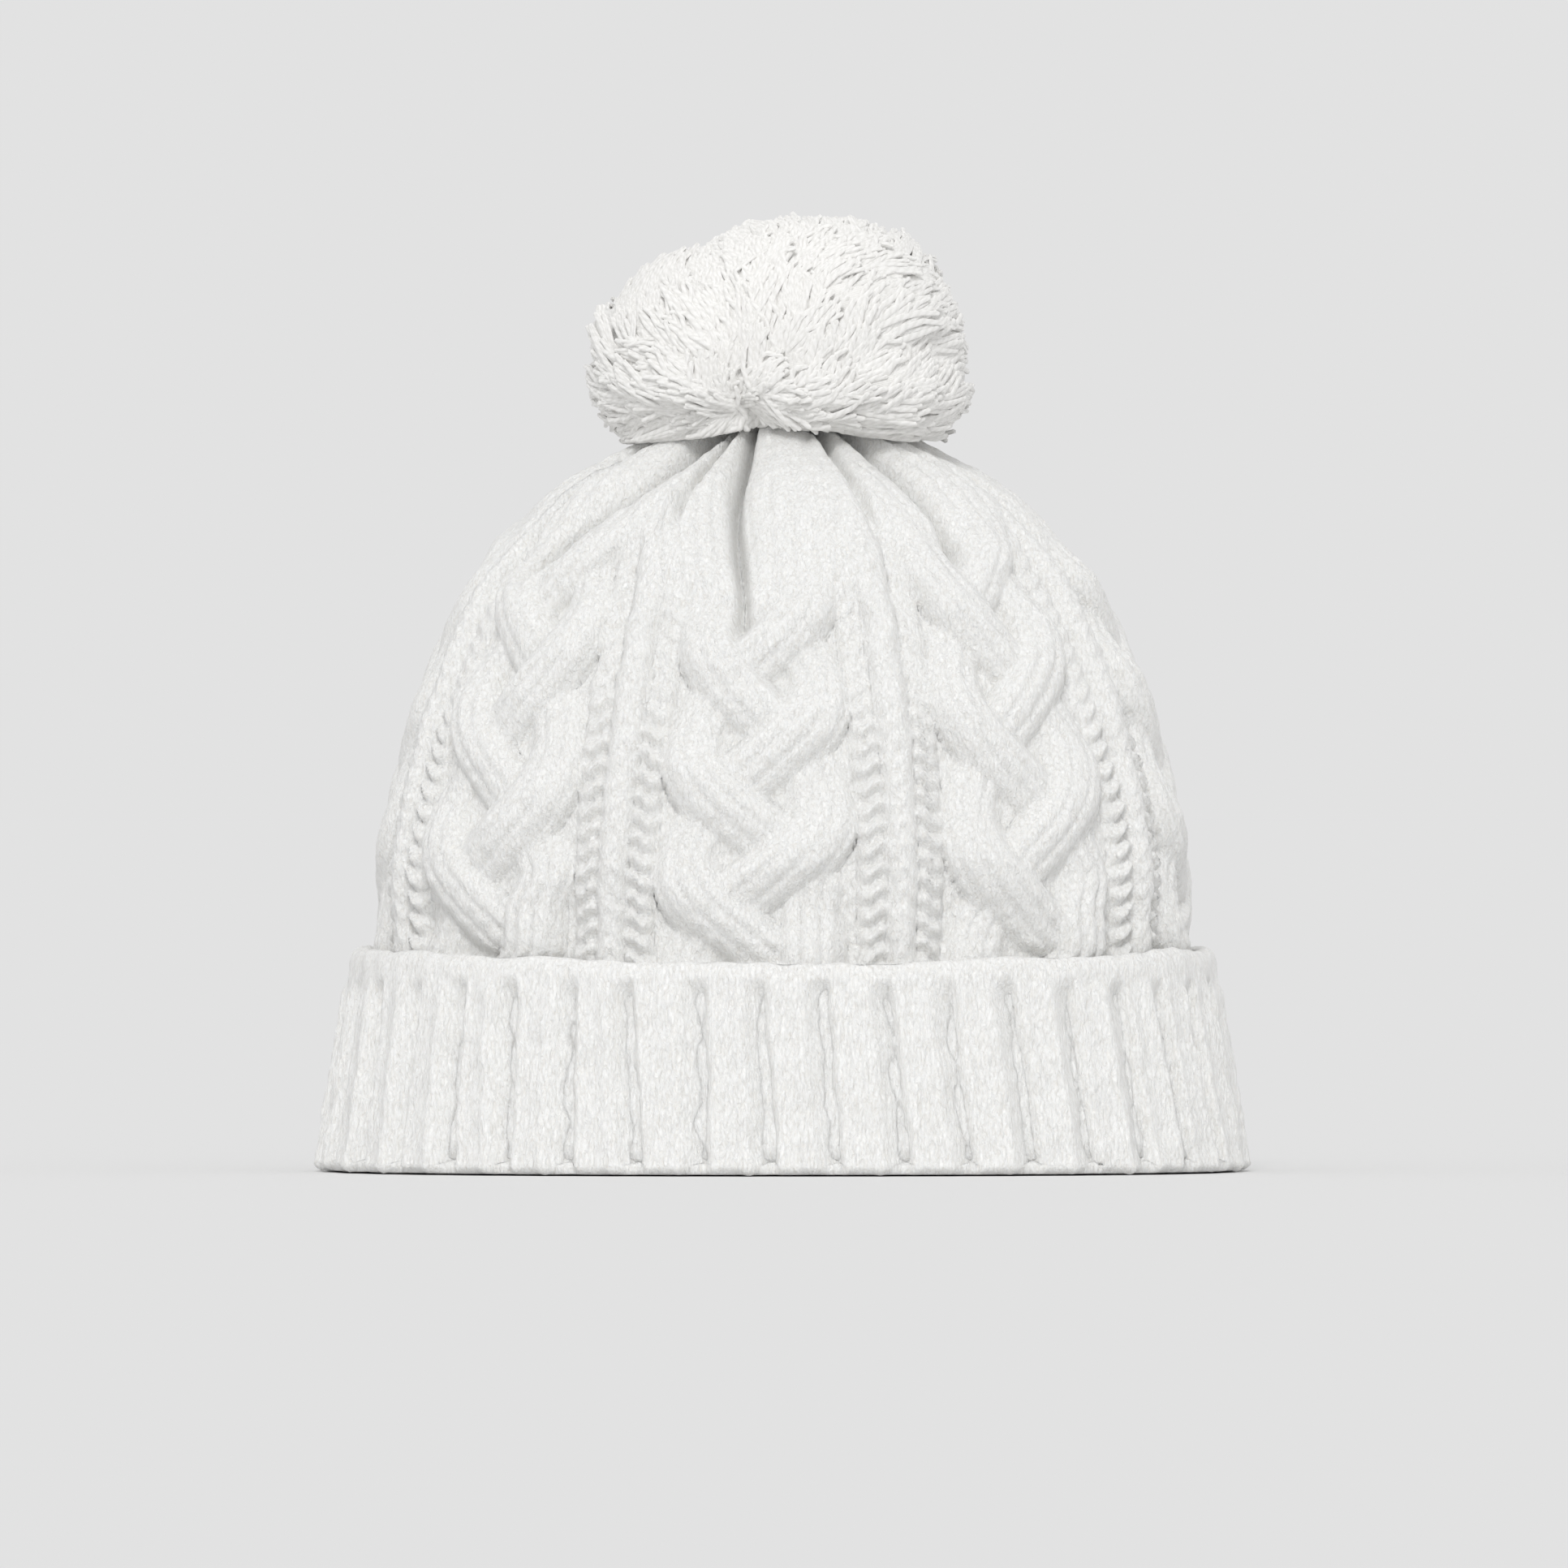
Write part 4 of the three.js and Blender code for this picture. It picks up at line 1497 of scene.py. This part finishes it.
    def ties(self) -> None:
        """The gather yarn, and the shank, knot and binding of the pompom.

        The knot is a trefoil, and the binding a coil.
        """
        low, high = self.box("crown_gather_yarn")
        middle, reach = (low + high) / 2, (high[0] - low[0]) / 2 - 1.5
        turn = np.linspace(0, TAU, 73)
        ring = np.stack([reach * np.cos(turn), reach * np.sin(turn), middle[2] + 0.5 * np.sin(8 * turn)], -1)
        piece = self.spin("crown_gather_yarn_ring", plied(ring, 1.2, self.lay_mm), self.gather_radius)
        settle(piece, "crown_gather_yarn", "hat")
        low, high = self.box("pompom_tie")
        z = np.linspace(low[2] - 0.6, high[2] + 1.0, 26)
        shank = []
        for start in (0.0, 0.25, 0.5, 0.75):
            angle = TAU * ((z - z[0]) / self.tie_lay_mm + start)
            x, y = self.tie_reach * np.cos(angle), self.tie_reach * np.sin(angle)
            shank.append(np.stack([x, y, z], axis=-1))
        settle(self.spin("pompom_tie_yarn", shank, self.tie_radius), "pompom_tie", "tie")
        low, high = self.box("pompom_anchor_knot")
        centre, size = (low + high) / 2, (high - low) / 2
        t = np.linspace(0, TAU, 161)
        wide = 2 + np.cos(3 * t)
        knot = np.stack([wide * np.cos(2 * t) / 3, wide * np.sin(2 * t) / 3, np.sin(3 * t)], axis=-1)
        path = centre + knot * (size - self.knot_radius)
        piece = self.spin("pompom_knot_yarn", [path], self.knot_radius)
        settle(piece, "pompom_anchor_knot", "tie")
        low, high = self.box("pompom_binding")
        z = np.linspace(low[2] + 1, high[2] - 1, 181)
        angle = TAU * self.binding_turns * (z - z[0]) / (z[-1] - z[0])
        reach = high[0] - self.binding_radius - 0.05
        path = np.stack([reach * np.cos(angle), reach * np.sin(angle), z], axis=-1)
        piece = self.spin("pompom_binding_yarn", [path], self.binding_radius)
        settle(piece, "pompom_binding", "binding")


@dataclass(frozen=True)
class CareLabel:
    """A blank woven label folded over and sewn flat inside the back of the band."""

    columns: int = 29
    rows: int = 19
    curl_mm: float = 0.5

    def build(self, finish: bpy.types.Material) -> bpy.types.Object:
        """Cuts the label to its node's box and bows it a little to the band.

        Args:
            finish: its material.

        Returns:
            The piece.
        """
        low, high = (np.array(corner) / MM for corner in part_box("care_label"))
        x = np.linspace(low[0], high[0], self.columns)
        z = np.linspace(low[2], high[2], self.rows)
        share = 2 * (x - x.mean()) / (high[0] - low[0])
        bow = self.curl_mm * (1 - share**2)
        outer = np.stack(np.broadcast_arrays(x[:, None], (high[1] - 0.5 + bow)[:, None], z[None]), axis=-1)
        inner = outer[:, ::-1] - np.array([0, high[1] - low[1], 0])
        ring = np.concatenate([outer, inner], axis=1)
        faces = [sort[:, ::-1] for sort in slab_faces(self.columns, ring.shape[1])]
        uv = np.stack([ring[..., 0], ring[..., 2]], axis=-1).reshape(-1, 2)
        piece = put_mesh("care_label_tape", ring.reshape(-1, 3), faces, finish, uv)
        settle(piece, "care_label", "hat")
        return piece


# --- the studio --------------------------------------------------------------------------------


@dataclass(frozen=True)
class Studio:
    """A pale floor, a soft sky all round, a broad key light from the front and above, and the camera."""

    frame_width_m: float = 0.3686
    distance_m: float = 6.0
    eye: tuple[float, float] = (0.0003, 0.0910)
    sensor_mm: float = 36.0
    floor_half_m: float = 60.0
    backdrop: float = 0.761
    sky: float = 0.78
    key: float = 1.26
    key_angle_deg: float = 18.0
    key_turn_deg: tuple[float, float, float] = (52.0, 0.0, -3.0)

    def camera(self) -> None:
        """Makes the camera: square on to the front, level, with a long lens."""
        data = bpy.data.cameras.new("camera")
        data.sensor_width = self.sensor_mm
        data.lens = self.sensor_mm * self.distance_m / self.frame_width_m
        data.clip_start, data.clip_end = 0.1, 500.0
        camera = bpy.data.objects.new("camera", data)
        camera.location = (self.eye[0], -self.distance_m, self.eye[1])
        camera.rotation_euler = (math.pi / 2, 0.0, 0.0)
        bpy.context.scene.collection.objects.link(camera)
        bpy.context.scene.camera = camera

    def floor(self) -> None:
        """Lays the floor."""
        s = self.floor_half_m / MM
        corners = np.array([[-s, -s, 0], [s, -s, 0], [s, s, 0], [-s, s, 0]], float)
        material = bpy.data.materials.new("matt_pale_floor")
        material.use_nodes = True
        shader = material.node_tree.nodes["Principled BSDF"]
        falling = self.key * math.cos(math.radians(self.key_turn_deg[0])) / math.pi
        grey = self.backdrop / (self.sky + falling)
        shader.inputs["Base Color"].default_value = (grey, grey, grey, 1.0)
        shader.inputs["Roughness"].default_value = 1.0
        shader.inputs["Specular IOR Level"].default_value = 0.0
        put_mesh("studio_floor", corners, [np.array([[0, 1, 2, 3]])], material)

    def lights(self) -> None:
        """Sets the sky, which the camera sees as a plain backdrop, and the key light."""
        world = bpy.data.worlds.new("studio_sky")
        bpy.context.scene.world = world
        world.use_nodes = True
        tree = world.node_tree
        tree.nodes.clear()
        seen = add_node(tree, "ShaderNodeLightPath").outputs["Is Camera Ray"]
        white = (1, 1, 1, 1)
        sky = add_node(tree, "ShaderNodeBackground", inputs={"Color": white, "Strength": self.sky})
        plain = add_node(tree, "ShaderNodeBackground", inputs={"Color": white, "Strength": self.backdrop})
        mix = add_node(tree, "ShaderNodeMixShader", inputs={0: seen, 1: sky.outputs[0], 2: plain.outputs[0]})
        add_node(tree, "ShaderNodeOutputWorld", inputs={0: mix.outputs[0]})
        data = bpy.data.lights.new("key_light", "SUN")
        data.energy = self.key
        data.angle = math.radians(self.key_angle_deg)
        key = bpy.data.objects.new("key_light", data)
        key.rotation_euler = [math.radians(a) for a in self.key_turn_deg]
        bpy.context.scene.collection.objects.link(key)

    def build(self) -> None:
        """Makes the whole studio."""
        self.camera()
        self.floor()
        self.lights()
        scene = bpy.context.scene
        scene.view_settings.view_transform = "Standard"
        scene.view_settings.look = "None"


def main() -> None:
    """Builds the studio and the hat."""
    logging.basicConfig(level=logging.INFO, format="%(name)s %(message)s")
    Studio().build()
    form = HatForm()
    knit = BrushedWool("brushed_wool_cable_knit").make()
    rib = BrushedWool("brushed_wool_rib_knit", upright=0.38).make()
    yarn = PliedYarn("soft_pompom_yarn").make()
    crown = CrownKnit(form)
    for half in Half:
        crown.build(half, knit)
    RibbedCuff(form).build(rib)
    InnerBand(form).build(rib)
    Pompom().build(yarn)
    # The sewing yarn's second colour is painted shade in the grooves between its plies.
    sewing = YarnWork(PliedYarn("sewing_and_tying_yarn", light="#F2F1EC", hollow_shade="#DEDBD3").make())
    sewing.seams(crown)
    sewing.ties()
    CareLabel().build(WovenTape().make())


if __name__ == "__main__":
    main()
